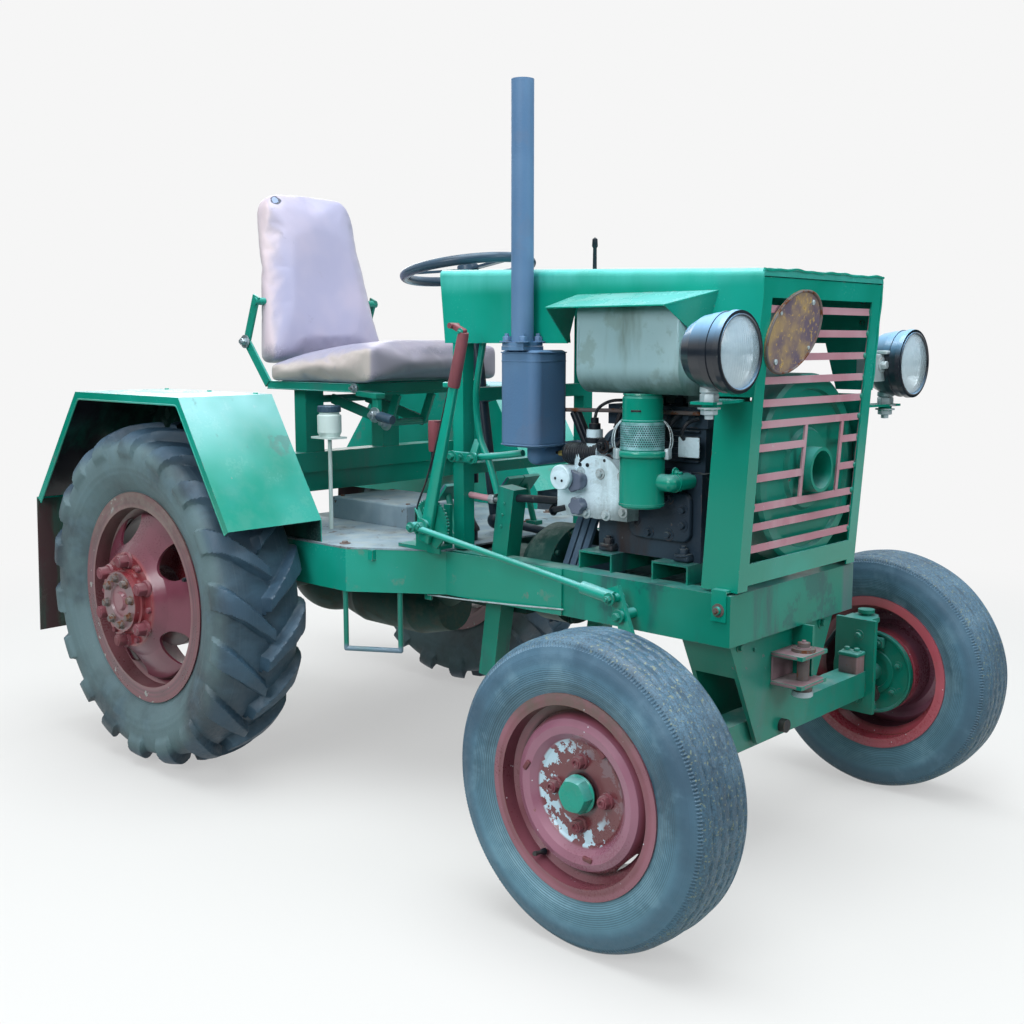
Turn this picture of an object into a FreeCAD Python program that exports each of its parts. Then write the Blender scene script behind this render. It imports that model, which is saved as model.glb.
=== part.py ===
# Small farm tractor built from mixed parts: channel frame, front-mounted diesel engine with a long
# sheet bonnet, box fenders, car wheels in front and lugged truck wheels behind.
# Millimetres. Every size below is written in the shop frame: X runs forward from the rear axle,
# Y to the left from the middle, Z up from the ground. save() moves the finished pieces so that
# the origin lies under the middle of the overall length.
import FreeCAD
import Part
import math
import os
from FreeCAD import Vector

os.makedirs("parts", exist_ok=True)

# ---- driving dimensions -------------------------------------------------------------------------
wheelbase = 1394.0
rear_overhang = 535.0          # from the rear axle back to the end of the drawbar
frame_half = 240.0             # outer faces of the side rails
deck_half = 392.0              # outer edges of the driver's deck
hood_half = frame_half - 9.0
dash_x = wheelbase - 683.0      # rear faces of the dash uprights

# wheels
front_tyre_radius = 281.0
front_tyre_width = 150.0
front_half_track = 550.0
front_seat_radius = 165.0
front_flange_radius = 182.0
front_rim_half = 68.0
front_tread_half = 58.0
front_facets = 32
rear_tyre_radius = 430.0
rear_tyre_width = 232.0
rear_half_track = deck_half + 22.0 + rear_tyre_width / 2.0
rear_seat_radius = 229.0
rear_flange_radius = 263.0
rear_rim_half = 90.0
rear_facets = 28
lug_count = 18                 # on each half of the tread, the halves half a pitch apart
lug_height = 28.0
lug_first = 9.0                # degrees from straight ahead to a shoulder lug of the right wheel
rear_shaft_radius = 20.0
hub_face = 125.0               # bolt face of the rear wheel, outward from its middle plane
hub_nut_circle = 100.0
rear_drum_face = rear_half_track - 86.0
rim_wall = 4.0
bead_gap = 0.2
running_fit = 0.05             # radial clearance of every shaft in its bore
side_clearance = 8.0           # drum to back plate

# ladder frame
rail_bottom = 485.0
rail_height = 100.0
rail_flange = 50.0
rail_wall = 6.0
frame_front = wheelbase + 70.0
frame_rear = -190.0
bumper_depth = 62.0
post_y = frame_half - 49.0     # side posts, middle line
post_width = 44.0
post_top = 738.0
post_foot = 300.0
post_foot_x = wheelbase - 597.0
post_lean = 64.0               # how far the post's head stands ahead of its foot
cross_size = 40.0
cross_places = (-165.0, wheelbase - 924.0, wheelbase - 179.0)

# front axle
axle_beam_size = 60.0
axle_beam_wall = 5.0
kingpin_half = front_half_track - 100.0
kingpin_radius = 12.0
yoke_length = 98.0
yoke_wall = 12.0
yoke_bottom = 205.0
yoke_top = 425.0
yoke_web_gap = 40.0            # kingpin centre in to the web of the yoke
knuckle_radius = 24.0
knuckle_gap = 1.0
back_plate_radius = 97.0
stub_radius = 15.0
arm_reach = 150.0
arm_width = 28.0
arm_offset = 10.0              # steering arm set outward from the kingpin, clear of the yoke at full lock
arm_thick = 14.0
arm_level = 240.0
joint_pin_radius = 8.0
tie_rod_radius = 11.0
tie_rod_drop = 25.0

# steering gear
pitman_y = 130.0
pitman_lug = 100.0             # tie rod back to the pitman pin
column_foot = Vector(dash_x - 86.0, 0.0, 620.0)
column_top = Vector(dash_x - 175.0, 0.0, 1208.0)
column_radius = 14.0
steering_rim_radius = 156.0
steering_grip_radius = 12.0
gear_shaft_radius = 10.0

# front hanger and towing jaw
hanger_x = wheelbase + 36.0
hanger_wall = 10.0
hanger_top_half = frame_half - 35.0
hanger_foot_half = 92.0
hanger_foot = 256.0
hanger_length = 92.0
jaw_reach = 72.0
jaw_half = 50.0
jaw_wall = 8.0
jaw_low = 371.0
jaw_high = 431.0
tow_pin_radius = 12.5

# engine
engine_rear = wheelbase - 308.0
engine_front = wheelbase - 50.0
engine_half = 165.0
engine_bottom = 623.0
engine_top = 930.0
mount_wall = 4.0
mount_width = 88.0
mount_half = frame_half - 35.0
flywheel_radius = hood_half - 40.0
flywheel_width = 58.0
flywheel_front = wheelbase + 74.0
crank_y = 32.0
crank_z = 806.0
tube_radius = 45.0
tube_bore = 38.0
tube_reach = 27.0
tube_depth = 70.0
clutch_y = -80.0
clutch_z = 540.0
bell_front = wheelbase - 429.0
upper_pulley = 57.0
lower_pulley = 79.0
belt_places = (bell_front + 8.0, bell_front + 28.0, bell_front + 48.0)
belt_width = 15.0
belt_thick = 9.0

# fuel tank
tank_rear = wheelbase - 267.0
tank_front = wheelbase - 22.0
tank_right = -hood_half - 61.0
tank_left = 96.0
tank_bottom = 958.0
tank_top = 1132.0
tank_low_round = 48.0
tank_high_round = 20.0

# exhaust
muffler_x = wheelbase - 440.0
muffler_y = 5.0 - hood_half
muffler_bottom = 838.0
muffler_top = 1041.0
stack_y = -hood_half - 31.0
stack_top = 1586.0
stack_radius = 23.5
exhaust_port_y = -118.0
exhaust_port_z = 824.0

# bonnet
hood_wall = 2.5
hood_rear = dash_x - 38.0
hood_front = wheelbase + 118.0
hood_rear_top = 1218.0
hood_front_top = 1190.0
hood_skirt = 1055.0
hood_rear_lean = 0.098
visor_rear = wheelbase - 315.0
visor_front = wheelbase - 29.0
visor_root = 1150.0
visor_edge = 1126.0
visor_out = 100.0

# grille
grille_foot = 590.0
grille_foot_x = wheelbase + 77.0
grille_lean = 0.066            # forward run of the grille for each millimetre up
post_depth = 82.0
post_flange = 34.0
post_plate_top = 950.0
post_wall = 4.0
bar_levels = (1118.0, 1074.0, 1030.0, 987.0, 945.0, 905.0, 861.0, 804.0, 748.0, 710.0, 668.0)
bar_height = 14.0
bar_thick = 4.0
cut_bars = bar_levels[6:8]     # these two stop at the uprights beside the tube
upright_places = (-18.0, 127.0)
upright_width = 10.0
oval_long = 105.0
oval_short = 68.0
oval_tilt = 30.0
oval_y = -112.0
oval_z = 1077.0

# headlamps
lamp_y = hood_half + 108.0
lamp_radius = 70.0
lamp_length = 112.0
lamp_face = wheelbase + 141.0
lamp_foot = 50.0               # from the back of the shell to its mounting foot
lamp_levels = {-1: 1041.0, 1: 1012.0}

# deck and skirts
deck_level = 585.0
deck_wall = 4.0
deck_rear = 30.0
deck_corner = dash_x - 191.0
deck_front = dash_x + 4.0
skirt_wall = 4.0
skirt_front = wheelbase - 344.0

# fenders: X and Z along the sheet, from the rear foot over the top to the front foot
fender_in = deck_half - 11.0
fender_out = rear_half_track + 110.0
fender_wall = 3.0
fender_lip = 18.0
fender_line = ((-475.0, 640.0), (-241.0, 932.0), (237.0, 932.0), (420.0, 641.0))
flap_foot = 270.0

# seat
seat_half = 228.0
seat_rear = 3.0
seat_front = 424.0
seat_base = 955.0
cushion_thick = 86.0
cushion_fall = 47.0            # the top slopes down to the rear by this much
cushion_round = 15.0
back_round = 22.0
back_half_low = 200.0
back_half_high = 140.0
back_thick = 66.0
back_lean = 0.19
back_foot_x = -1.0
back_low = 1012.0
back_high = 1456.0
seat_rail_y = 190.0
seat_rail = 22.0
beam_x = 90.0
beam_low = 660.0
beam_top = 765.0
beam_depth = 60.0

# levers
lever_y = -318.0
lever_cheek = 300.0            # outer cheek of the lever stand
lever_inner = 232.0

# rear drawbar
drawbar_bore = 14.0
drawbar_level = 380.0
drawbar_wall = 16.0
drawbar_half = 30.0

ORIGIN_SHIFT = (rear_overhang - wheelbase - front_tyre_radius) / 2.0
UP = Vector(0, 0, 1)
ALONG = Vector(1, 0, 0)
LEFT = Vector(0, 1, 0)


# ---- helpers ------------------------------------------------------------------------------------
def save(name, shape):
    """Moves a finished piece into the part's frame and writes it."""
    moved = shape.copy()
    moved.translate(Vector(ORIGIN_SHIFT, 0, 0))
    moved.exportStep("parts/" + name + ".step")
    print(name, "solids", len(moved.Solids), "litres", round(moved.Volume / 1e6, 2))


def fused(shapes):
    first = shapes[0]
    whole = first.fuse(shapes[1:]) if len(shapes) > 1 else first
    return whole.removeSplitter()


def block(x0, x1, y0, y1, z0, z1):
    corner = Vector(min(x0, x1), min(y0, y1), min(z0, z1))
    return Part.makeBox(abs(x1 - x0), abs(y1 - y0), abs(z1 - z0), corner)


def rod(start, end, radius):
    way = end.sub(start)
    return Part.makeCylinder(radius, way.Length, start, way)


def tube(start, end, radius, bore):
    return rod(start, end, radius).cut(rod(start, end, bore))


def bent_rod(points, radius):
    """Round bar through the points, with a ball at each bend."""
    pieces = [rod(points[i], points[i + 1], radius) for i in range(len(points) - 1)]
    pieces += [Part.makeSphere(radius, point) for point in points[1:-1]]
    return fused(pieces)


def panel(points, push):
    """Flat sheet through the corner points, pushed out to its thickness."""
    wire = Part.makePolygon(list(points) + [points[0]])
    return Part.Face(wire).extrude(push)


def beam(start, end, width, depth):
    """Rectangular bar from start to end: width is measured level, depth upright."""
    way = end.sub(start)
    level = way.cross(UP)
    level = level if level.Length > 1e-6 else Vector(0, way.Length, 0)
    level.normalize()
    upright = level.cross(way)
    upright.normalize()
    half_a = level.multiply(width / 2.0)
    half_b = upright.multiply(depth / 2.0)
    corners = [
        start.add(half_a).add(half_b), start.sub(half_a).add(half_b),
        start.sub(half_a).sub(half_b), start.add(half_a).sub(half_b)]
    return panel(corners, way)


def turned(profile, centre, axis, radial):
    """Lathe work: profile is a table of (distance along the axis, radius)."""
    points = []
    for along, radius in profile:
        points.append(centre + axis * along + radial * radius)
    wire = Part.makePolygon(points + [points[0]])
    return Part.Face(wire).revolve(centre, axis, 360)


def wheel_turned(profile, centre, side):
    """Lathe work on a wheel: distances count outward from the wheel's middle plane."""
    return turned([(along * side, radius) for along, radius in profile], centre, LEFT, UP)


def ring_of(count, start_angle, circle, centre, side, x_radius, depth, inset):
    """Round bars set in a circle on a wheel, for bolts or for cutting holes."""
    bars = []
    for i in range(count):
        angle = math.radians(start_angle + 360.0 * i / count)
        spot = centre + Vector(circle * math.cos(angle), side * inset, circle * math.sin(angle))
        bars.append(Part.makeCylinder(x_radius, depth, spot, LEFT * side))
    return bars


def side_name(side):
    return "left" if side > 0 else "right"


# ---- tyres and rims -----------------------------------------------------------------------------
def on_wheel(centre, angle, along, radius):
    """Point of a wheel: the angle counts in degrees upward from straight ahead."""
    turn = math.radians(angle)
    return centre + Vector(radius * math.cos(turn), along, radius * math.sin(turn))


def flat_face(corners):
    return Part.Face(Part.makePolygon(corners + corners[:1]))


def closed_solid(faces):
    solid = Part.makeSolid(Part.makeShell(faces))
    if solid.Volume < 0:
        solid.reverse()
    return solid


def tyre_ring(centre, half_profile, facets):
    """Tyre of flat facets, filled down to the rim seat: the half profile runs from the seat to the crown."""
    outline = half_profile + [(-along, radius) for along, radius in reversed(half_profile)]
    step = 360.0 / facets
    faces = []
    for k in range(facets):
        for (along_a, radius_a), (along_b, radius_b) in zip(outline, outline[1:] + outline[:1]):
            faces.append(flat_face([
                on_wheel(centre, step * k, along_a, radius_a), on_wheel(centre, step * k, along_b, radius_b),
                on_wheel(centre, step * (k + 1), along_b, radius_b),
                on_wheel(centre, step * (k + 1), along_a, radius_a)]))
    return closed_solid(faces)


def bead_corners(rim_half, seat, flange, facets):
    """The two corners inside the rim, with the flats of the ring just clear of the rim."""
    bead = rim_half - rim_wall - bead_gap
    return [(bead, (seat + bead_gap) / math.cos(math.pi / facets)), (bead, flange + 2.0)]


def front_tyre(centre):
    radius = front_tyre_radius
    bulge = front_tyre_width / 2.0
    tread = front_tread_half
    # distance from the middle plane, radius
    profile = bead_corners(front_rim_half, front_seat_radius, front_flange_radius, front_facets)
    profile += [(bulge, radius - 46.0), (tread, radius - 11.0), (tread / 2.0, radius)]
    return tyre_ring(centre, profile, front_facets)


def rear_tyre(centre, side):
    floor = rear_tyre_radius - lug_height
    bulge = rear_tyre_width / 2.0
    # distance from the middle plane, radius
    profile = bead_corners(rear_rim_half, rear_seat_radius, rear_flange_radius, rear_facets)
    profile += [(bulge, floor - 67.0), (bulge - 4.0, floor - 30.0), (bulge - 21.0, floor - 8.0)]
    profile += [(bulge - 86.0, floor)]
    pitch = 360.0 / lug_count
    lugs = []
    for half in (-1, 1):
        first = lug_first if half == side else lug_first + pitch / 2.0
        lugs += [lug(centre, half, first + pitch * k) for k in range(lug_count)]
    return tyre_ring(centre, profile, rear_facets).fuse(lugs)


def lug(centre, half, angle):
    """One slanting tread bar on one half of the tyre, from the sidewall to just past the middle."""
    tip = rear_tyre_radius
    outer = rear_tyre_width / 2.0
    # distance outward, radius, half width along the tread
    section = [(-12.0, tip - 38.0, 21.0), (-12.0, tip, 17.0), (outer - 16.0, tip, 27.0),
               (outer + 2.0, tip - 25.0, 29.0), (outer - 12.0, tip - 56.0, 31.0)]
    slant = 0.95
    sides = []
    for way in (-1, 1):
        edge = []
        for along, radius, width in section:
            turn = (slant * (along - outer + 4.0) + way * width) / tip
            edge.append(on_wheel(centre, angle + math.degrees(turn), half * along, radius))
        sides.append(edge)
    near, far = sides
    faces = []
    for edge in sides:
        for k in range(1, len(edge) - 1):
            faces.append(flat_face([edge[0], edge[k], edge[k + 1]]))
    for k in range(len(near)):
        after = (k + 1) % len(near)
        faces.append(flat_face([near[k], near[after], far[after]]))
        faces.append(flat_face([near[k], far[after], far[k]]))
    return closed_solid(faces)


def rim_barrel(centre, side, seat, flange, half):
    """Rolled well-base rim: flange, bead seat, well, bead seat, flange."""
    well = seat - 18.0
    outer = [
        (half, flange), (half - rim_wall, flange), (half - rim_wall, seat),
        (half * 0.55, seat - 1.0), (half * 0.42, well), (-half * 0.30, well),
        (-half * 0.45, seat - 1.0), (-half + rim_wall, seat), (-half + rim_wall, flange),
        (-half, flange), (-half, seat - rim_wall), (-half * 0.42, seat - rim_wall - 1.0),
        (-half * 0.27, well - rim_wall), (half * 0.45, well - rim_wall),
        (half * 0.58, seat - rim_wall - 1.0), (half, seat - rim_wall)]
    return wheel_turned(outer, centre, side)


def front_wheel(side):
    centre = Vector(wheelbase, side * front_half_track, front_tyre_radius)
    well = front_seat_radius - 18.0
    pressed = 4.0
    # distance outward, radius: from the well over the raised ring to the bolt face
    crest = [(24.0, well), (36.0, 143.0), (52.0, 134.0), (57.0, 122.0), (54.0, 108.0),
             (42.0, 97.0), (38.0, 90.0), (38.0, 34.0)]
    back = [(along - pressed, radius) for along, radius in reversed(crest)]
    disc = wheel_turned(crest + back, centre, side)
    slots = []
    slot_width = 62.0
    for i in range(4):
        angle = math.radians(45.0 + 90.0 * i)
        spot = centre + Vector(math.cos(angle) * 148.0, side * 15.0, math.sin(angle) * 148.0)
        cutter = block(-slot_width / 2, slot_width / 2, 0, 30.0, -9.0, 9.0)
        cutter.rotate(Vector(0, 0, 0), LEFT, 90.0 - math.degrees(angle))
        cutter.translate(spot if side > 0 else spot - Vector(0, 30.0, 0))
        slots.append(cutter)
    disc = disc.cut(slots)
    stub_end = 45.0
    drum_mouth = kingpin_half + 51.0 + side_clearance - front_half_track
    bore = stub_radius + running_fit
    hub = wheel_turned([(drum_mouth, bore), (drum_mouth, 32.0), (34.0, 32.0), (stub_end, 32.0),
                        (stub_end, bore)], centre, side)
    drum = wheel_turned([(drum_mouth, 92.0), (drum_mouth, 100.0), (34.0, 100.0), (34.0, 31.0),
                         (26.0, 31.0), (26.0, 92.0)], centre, side)
    cap = wheel_turned([(stub_end - 1.0, 24.0), (stub_end - 1.0, 28.0), (62.0, 27.0),
                        (66.0, 22.0), (66.0, 0.0), (63.0, 0.0), (63.0, 21.0), (60.0, 24.0)],
                       centre, side)
    nuts = ring_of(4, 0.0, 57.5, centre, side, 9.0, 16.0, 37.0)
    rim = fused([rim_barrel(centre, side, front_seat_radius, front_flange_radius, front_rim_half),
                 disc, hub, drum, cap] + nuts)
    save("front_rim_" + side_name(side), rim)
    save("front_tyre_" + side_name(side), front_tyre(centre))


def rear_wheel(side):
    centre = Vector(0, side * rear_half_track, rear_tyre_radius)
    well = rear_seat_radius - 18.0
    face = hub_face
    # distance outward, radius: the disc domes out past the rim to the bolt face
    dome = [(44.0, well), (58.0, well - 2.0), (64.0, 205.0), (76.0, 182.0), (100.0, 142.0),
            (face - 6.0, 120.0), (face, 114.0), (face, 70.0)]
    back = [(along - 6.0, radius - 1.0) for along, radius in reversed(dome)]
    disc = wheel_turned(dome + back, centre, side)
    disc = disc.cut(ring_of(5, 36.0, 181.0, centre, side, 45.0, 90.0, 30.0))
    drum_mouth = rear_drum_face - rear_half_track
    drum = wheel_turned([(drum_mouth, 124.0), (drum_mouth, 134.0), (10.0, 134.0), (16.0, 64.0),
                         (face - 8.0, 64.0), (face - 6.0, 112.0), (face - 3.0, 112.0), (face - 3.0, 0.0),
                         (2.0, 0.0), (2.0, 124.0)], centre, side)
    flange = wheel_turned([(face - 4.0, 0.0), (face - 4.0, 84.0), (face + 8.0, 82.0), (face + 10.0, 76.0),
                           (face + 22.0, 74.0), (face + 22.0, 42.0), (face + 17.0, 38.0),
                           (face + 17.0, 24.0), (face + 24.0, 20.0), (face + 24.0, 0.0)], centre, side)
    shaft = rod(centre - LEFT * (side * 150.0), centre + LEFT * (side * 30.0), rear_shaft_radius)
    nuts = ring_of(6, 24.0, hub_nut_circle, centre, side, 13.0, 30.0, face - 3.0)
    bolts = ring_of(8, 10.0, 57.0, centre, side, 7.0, 12.0, face + 20.0)
    rim = fused([rim_barrel(centre, side, rear_seat_radius, rear_flange_radius, rear_rim_half),
                 disc, drum, flange, shaft] + nuts + bolts)
    save("rear_rim_" + side_name(side), rim)
    save("rear_tyre_" + side_name(side), rear_tyre(centre, side))


# ---- frame --------------------------------------------------------------------------------------
def chassis():
    low = rail_bottom
    high = rail_bottom + rail_height
    pieces = []
    for side in (-1, 1):
        web = side * frame_half
        pieces.append(block(frame_rear, frame_front, web, web - side * rail_wall, low, high))
        pieces.append(block(frame_rear, frame_front, web, web - side * rail_flange, high - rail_wall, high))
        pieces.append(block(frame_rear, frame_front, web, web - side * rail_flange, low, low + rail_wall))
        pieces.append(side_post(side))
    pieces.append(block(frame_front - rail_wall, frame_front, -frame_half, frame_half, low, high))
    pieces.append(block(frame_front - bumper_depth, frame_front, -frame_half, frame_half,
                        high - rail_wall, high))
    pieces.append(block(frame_front - bumper_depth, frame_front, -frame_half, frame_half,
                        low, low + rail_wall))
    inner = frame_half - rail_wall
    for x in cross_places:
        pieces.append(block(x - cross_size / 2, x + cross_size / 2, -inner, inner,
                            low + rail_wall, low + rail_wall + cross_size))
    for x in (engine_rear + 22.0, engine_front - 46.0):
        pieces.append(engine_mount(x))
    save("chassis_frame", fused(pieces))


def side_post(side):
    """Square post through the rail's flanges, leaning back toward its foot."""
    head = Vector(post_foot_x + post_lean, side * post_y, post_top)
    foot = Vector(post_foot_x, side * post_y, post_foot)
    return beam(foot, head, post_width, 46.0)


def engine_mount(x):
    """Upturned channel across the rails, open at both ends."""
    top = engine_bottom
    base = rail_bottom + rail_height
    half = mount_width / 2.0
    outside = block(x - half, x + half, -mount_half, mount_half, base - 1.0, top)
    hollow = block(x - half + mount_wall, x + half - mount_wall, -mount_half, mount_half, base - 1.0,
                   top - mount_wall)
    return outside.cut(hollow)


def hanger():
    """Trapezoid plates hung under the bumper on both sides of the axle beam, with the towing jaw."""
    top = rail_bottom
    pieces = []
    for x, push in ((hanger_x, hanger_wall), (hanger_x - hanger_length, -hanger_wall)):
        outline = [Vector(x, -hanger_top_half, top), Vector(x, hanger_top_half, top),
                   Vector(x, hanger_foot_half, hanger_foot), Vector(x, -hanger_foot_half, hanger_foot)]
        pieces.append(panel(outline, ALONG * push))
    for side in (-1, 1):
        run = (hanger_top_half - hanger_foot_half) / (top - hanger_foot)
        low = top - 80.0
        outer_low = hanger_top_half - run * (top - low)
        outline = [Vector(hanger_x, side * hanger_top_half, top),
                   Vector(hanger_x, side * outer_low, low),
                   Vector(hanger_x, side * (outer_low - 8.0), low),
                   Vector(hanger_x, side * (hanger_top_half - 8.0), top)]
        pieces.append(panel(outline, ALONG * -hanger_length))
    face = hanger_x + hanger_wall
    for z in (jaw_low, jaw_high):
        pieces.append(block(face, face + jaw_reach, -jaw_half, jaw_half, z, z + jaw_wall))
    pieces.append(block(face, face + 46.0, 34.0, 42.0, jaw_low, top))
    body = fused(pieces)
    pin_x = face + jaw_reach - 26.0
    bore = Part.makeCylinder(tow_pin_radius + running_fit, 200.0, Vector(pin_x, 0, jaw_low - 50.0), UP)
    pivot = rod(Vector(hanger_x - hanger_length - hanger_wall, 0, front_tyre_radius - 6.0),
                Vector(face, 0, front_tyre_radius - 6.0), 14.0 + running_fit)
    save("axle_hanger", body.cut(bore).cut(pivot))
    pin = fused([
        Part.makeCylinder(tow_pin_radius, jaw_high - jaw_low + 50.0, Vector(pin_x, 0, jaw_low - 24.0), UP),
        Part.makeCylinder(24.0, 7.0, Vector(pin_x, 0, jaw_high + jaw_wall), UP),
        Part.makeCylinder(19.0, 12.0, Vector(pin_x, 0, jaw_low - 13.0), UP)])
    save("tow_pin", pin)


def front_axle():
    level = front_tyre_radius - 6.0
    half = axle_beam_size / 2.0
    web = kingpin_half - yoke_web_gap
    outside = block(wheelbase - half, wheelbase + half, -web, web, level - half, level + half)
    hollow = block(wheelbase - half + axle_beam_wall, wheelbase + half - axle_beam_wall, -web, web,
                   level - half + axle_beam_wall, level + half - axle_beam_wall)
    sleeve = rod(Vector(wheelbase - half, 0, level), Vector(wheelbase + half, 0, level), 22.0)
    pieces = [outside.cut(hollow), sleeve]
    for side in (-1, 1):
        pin = Vector(wheelbase, side * kingpin_half, 0)
        pieces.append(block(wheelbase - yoke_length / 2, wheelbase + yoke_length / 2,
                            side * (web - yoke_wall), side * web, yoke_bottom, yoke_top))
        for z in (yoke_bottom, yoke_top - yoke_wall):
            pieces.append(block(wheelbase - 34.0, wheelbase + 34.0, side * (web - 1.0),
                                side * kingpin_half, z, z + yoke_wall))
            pieces.append(Part.makeCylinder(28.0, yoke_wall, pin + UP * z, UP))
    body = fused(pieces)
    holes = [rod(Vector(wheelbase - half, 0, level), Vector(wheelbase + half, 0, level),
                 14.0 + running_fit)]
    for side in (-1, 1):
        holes.append(Part.makeCylinder(kingpin_radius + running_fit, 400.0,
                                       Vector(wheelbase, side * kingpin_half, 100.0), UP))
    save("front_axle_beam", body.cut(holes))
    pivot = rod(Vector(hanger_x - hanger_length - hanger_wall - 14.0, 0, level),
                Vector(hanger_x + hanger_wall + 14.0, 0, level), 14.0)
    save("axle_pivot_pin", pivot)


def knuckle(side):
    pin = Vector(wheelbase, side * kingpin_half, 0)
    low = yoke_bottom + yoke_wall + knuckle_gap
    high = yoke_top - yoke_wall - knuckle_gap
    post = Part.makeCylinder(knuckle_radius, high - low, pin + UP * low, UP)
    king = Part.makeCylinder(kingpin_radius, yoke_top - yoke_bottom + 22.0,
                             pin + UP * (yoke_bottom - 8.0), UP)
    head = Part.makeCylinder(19.0, 8.0, pin + UP * (yoke_top + 6.0), UP)
    axis = Vector(wheelbase, 0, front_tyre_radius)
    stub = rod(axis + LEFT * (side * kingpin_half), axis + LEFT * (side * (front_half_track + 48.0)),
               stub_radius)
    shoulder = rod(axis + LEFT * (side * kingpin_half), axis + LEFT * (side * (kingpin_half + 49.0)), 22.0)
    back = rod(axis + LEFT * (side * (kingpin_half + 46.0)), axis + LEFT * (side * (kingpin_half + 50.0)),
               back_plate_radius)
    arm_y = side * (kingpin_half + arm_offset)
    arm = block(wheelbase - arm_reach, wheelbase, arm_y - arm_width / 2, arm_y + arm_width / 2,
                arm_level - arm_thick / 2, arm_level + arm_thick / 2)
    eye = Part.makeCylinder(arm_width / 2, arm_thick,
                            Vector(wheelbase - arm_reach, side * kingpin_half, arm_level - arm_thick / 2), UP)
    hole = Part.makeCylinder(joint_pin_radius + running_fit, 60.0,
                             Vector(wheelbase - arm_reach, side * kingpin_half, arm_level - 30.0), UP)
    save("knuckle_" + side_name(side), fused([post, king, head, stub, shoulder, back, arm, eye]).cut(hole))


def steering_links():
    x = wheelbase - arm_reach
    level = arm_level - tie_rod_drop
    pieces = [rod(Vector(x, -kingpin_half, level), Vector(x, kingpin_half, level), tie_rod_radius)]
    for side in (-1, 1):
        foot = Vector(x, side * kingpin_half, level - 14.0)
        top_of_eye = arm_level - arm_thick / 2 - knuckle_gap
        pieces.append(Part.makeCylinder(17.0, top_of_eye - foot.z, foot, UP))
        pin_top = arm_level + arm_thick / 2 + 12.0
        pieces.append(Part.makeCylinder(joint_pin_radius, pin_top - foot.z, foot, UP))
    lug_pin = Vector(x - pitman_lug, pitman_y, 0)
    lug_low = level - 7.0
    lug_high = arm_level - arm_thick / 2 - knuckle_gap
    pieces.append(block(lug_pin.x, x, pitman_y - 15.0, pitman_y + 15.0, lug_low, level + 7.0))
    pieces.append(Part.makeCylinder(18.0, lug_high - lug_low, lug_pin + UP * lug_low, UP))
    rod_body = fused(pieces)
    rod_body = rod_body.cut(Part.makeCylinder(joint_pin_radius + running_fit, 60.0,
                                              lug_pin + UP * (lug_low - 10.0), UP))
    save("tie_rod", rod_body)
    shaft = lug_pin + ALONG * arm_reach
    low = arm_level - arm_thick / 2
    gear_bottom = 430.0
    pitman = fused([
        block(lug_pin.x, shaft.x, pitman_y - 14.0, pitman_y + 14.0, low, low + arm_thick),
        Part.makeCylinder(16.0, arm_thick, lug_pin + UP * low, UP),
        Part.makeCylinder(22.0, arm_thick + 10.0, shaft + UP * low, UP),
        Part.makeCylinder(joint_pin_radius, low + 5.0 - lug_low + 12.0, lug_pin + UP * (lug_low - 12.0), UP),
        Part.makeCylinder(12.0, gear_bottom + 30.0 - low, shaft + UP * low, UP)])
    save("pitman_arm", pitman)
    gear = block(shaft.x - 42.0, shaft.x + 26.0, pitman_y - 40.0, pitman_y + 42.0, gear_bottom, 565.0)
    plate = block(shaft.x - 42.0, shaft.x + 26.0, pitman_y + 40.0, frame_half - rail_wall - 0.3, 500.0, 512.0)
    shaft_start = Vector(shaft.x - 40.0, pitman_y + 10.0, 545.0)
    lower = rod(column_foot, shaft_start, gear_shaft_radius)
    joint_a = Part.makeSphere(21.0, column_foot)
    upper = rod(column_foot, column_top, column_radius)
    bracket = beam((column_top + column_foot) * 0.5, Vector(dash_x - 1.5, 0, 940.0), 24.0, 10.0)
    column = fused([gear, plate, lower, joint_a, upper, bracket])
    column = column.cut(Part.makeCylinder(12.0 + running_fit, 40.0, shaft + UP * (gear_bottom - 5.0), UP))
    save("steering_column", column)


def steering_wheel():
    way = column_top.sub(column_foot)
    way.normalize()
    hub_low = column_top.add(way * 1.0)
    hub = rod(hub_low, hub_low.add(way * 34.0), 26.0)
    middle = hub_low.add(way * 24.0)
    rim = Part.makeTorus(steering_rim_radius, steering_grip_radius, middle, way)
    pieces = [hub, rim]
    sideways = LEFT
    forward = sideways.cross(way)
    for angle in (0.0, 120.0, 240.0):
        reach = forward * math.cos(math.radians(angle)) + sideways * math.sin(math.radians(angle))
        pieces.append(beam(middle, middle.add(reach * steering_rim_radius), 22.0, 6.0))
    save("steering_wheel", fused(pieces))


# ---- driveline ----------------------------------------------------------------------------------
def rear_axle():
    level = rear_tyre_radius
    mouth = rear_drum_face - side_clearance
    tube_out = rod(Vector(0, -mouth, level), Vector(0, mouth, level), 42.0)
    ball = Part.makeSphere(128.0, Vector(0, 0, level))
    pieces = [tube_out, ball]
    for side in (-1, 1):
        pieces.append(rod(Vector(0, side * (mouth - 6.0), level), Vector(0, side * mouth, level), 130.0))
        seat = side * (frame_half - rail_flange / 2)
        pieces.append(block(-45.0, 45.0, seat - 25.0, seat + 25.0, level, rail_bottom))
    body = fused(pieces)
    bores = []
    for side in (-1, 1):
        bores.append(rod(Vector(0, side * (rear_half_track - 155.0), level), Vector(0, side * mouth, level),
                         rear_shaft_radius + running_fit))
    save("rear_axle", body.cut(bores))


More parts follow.
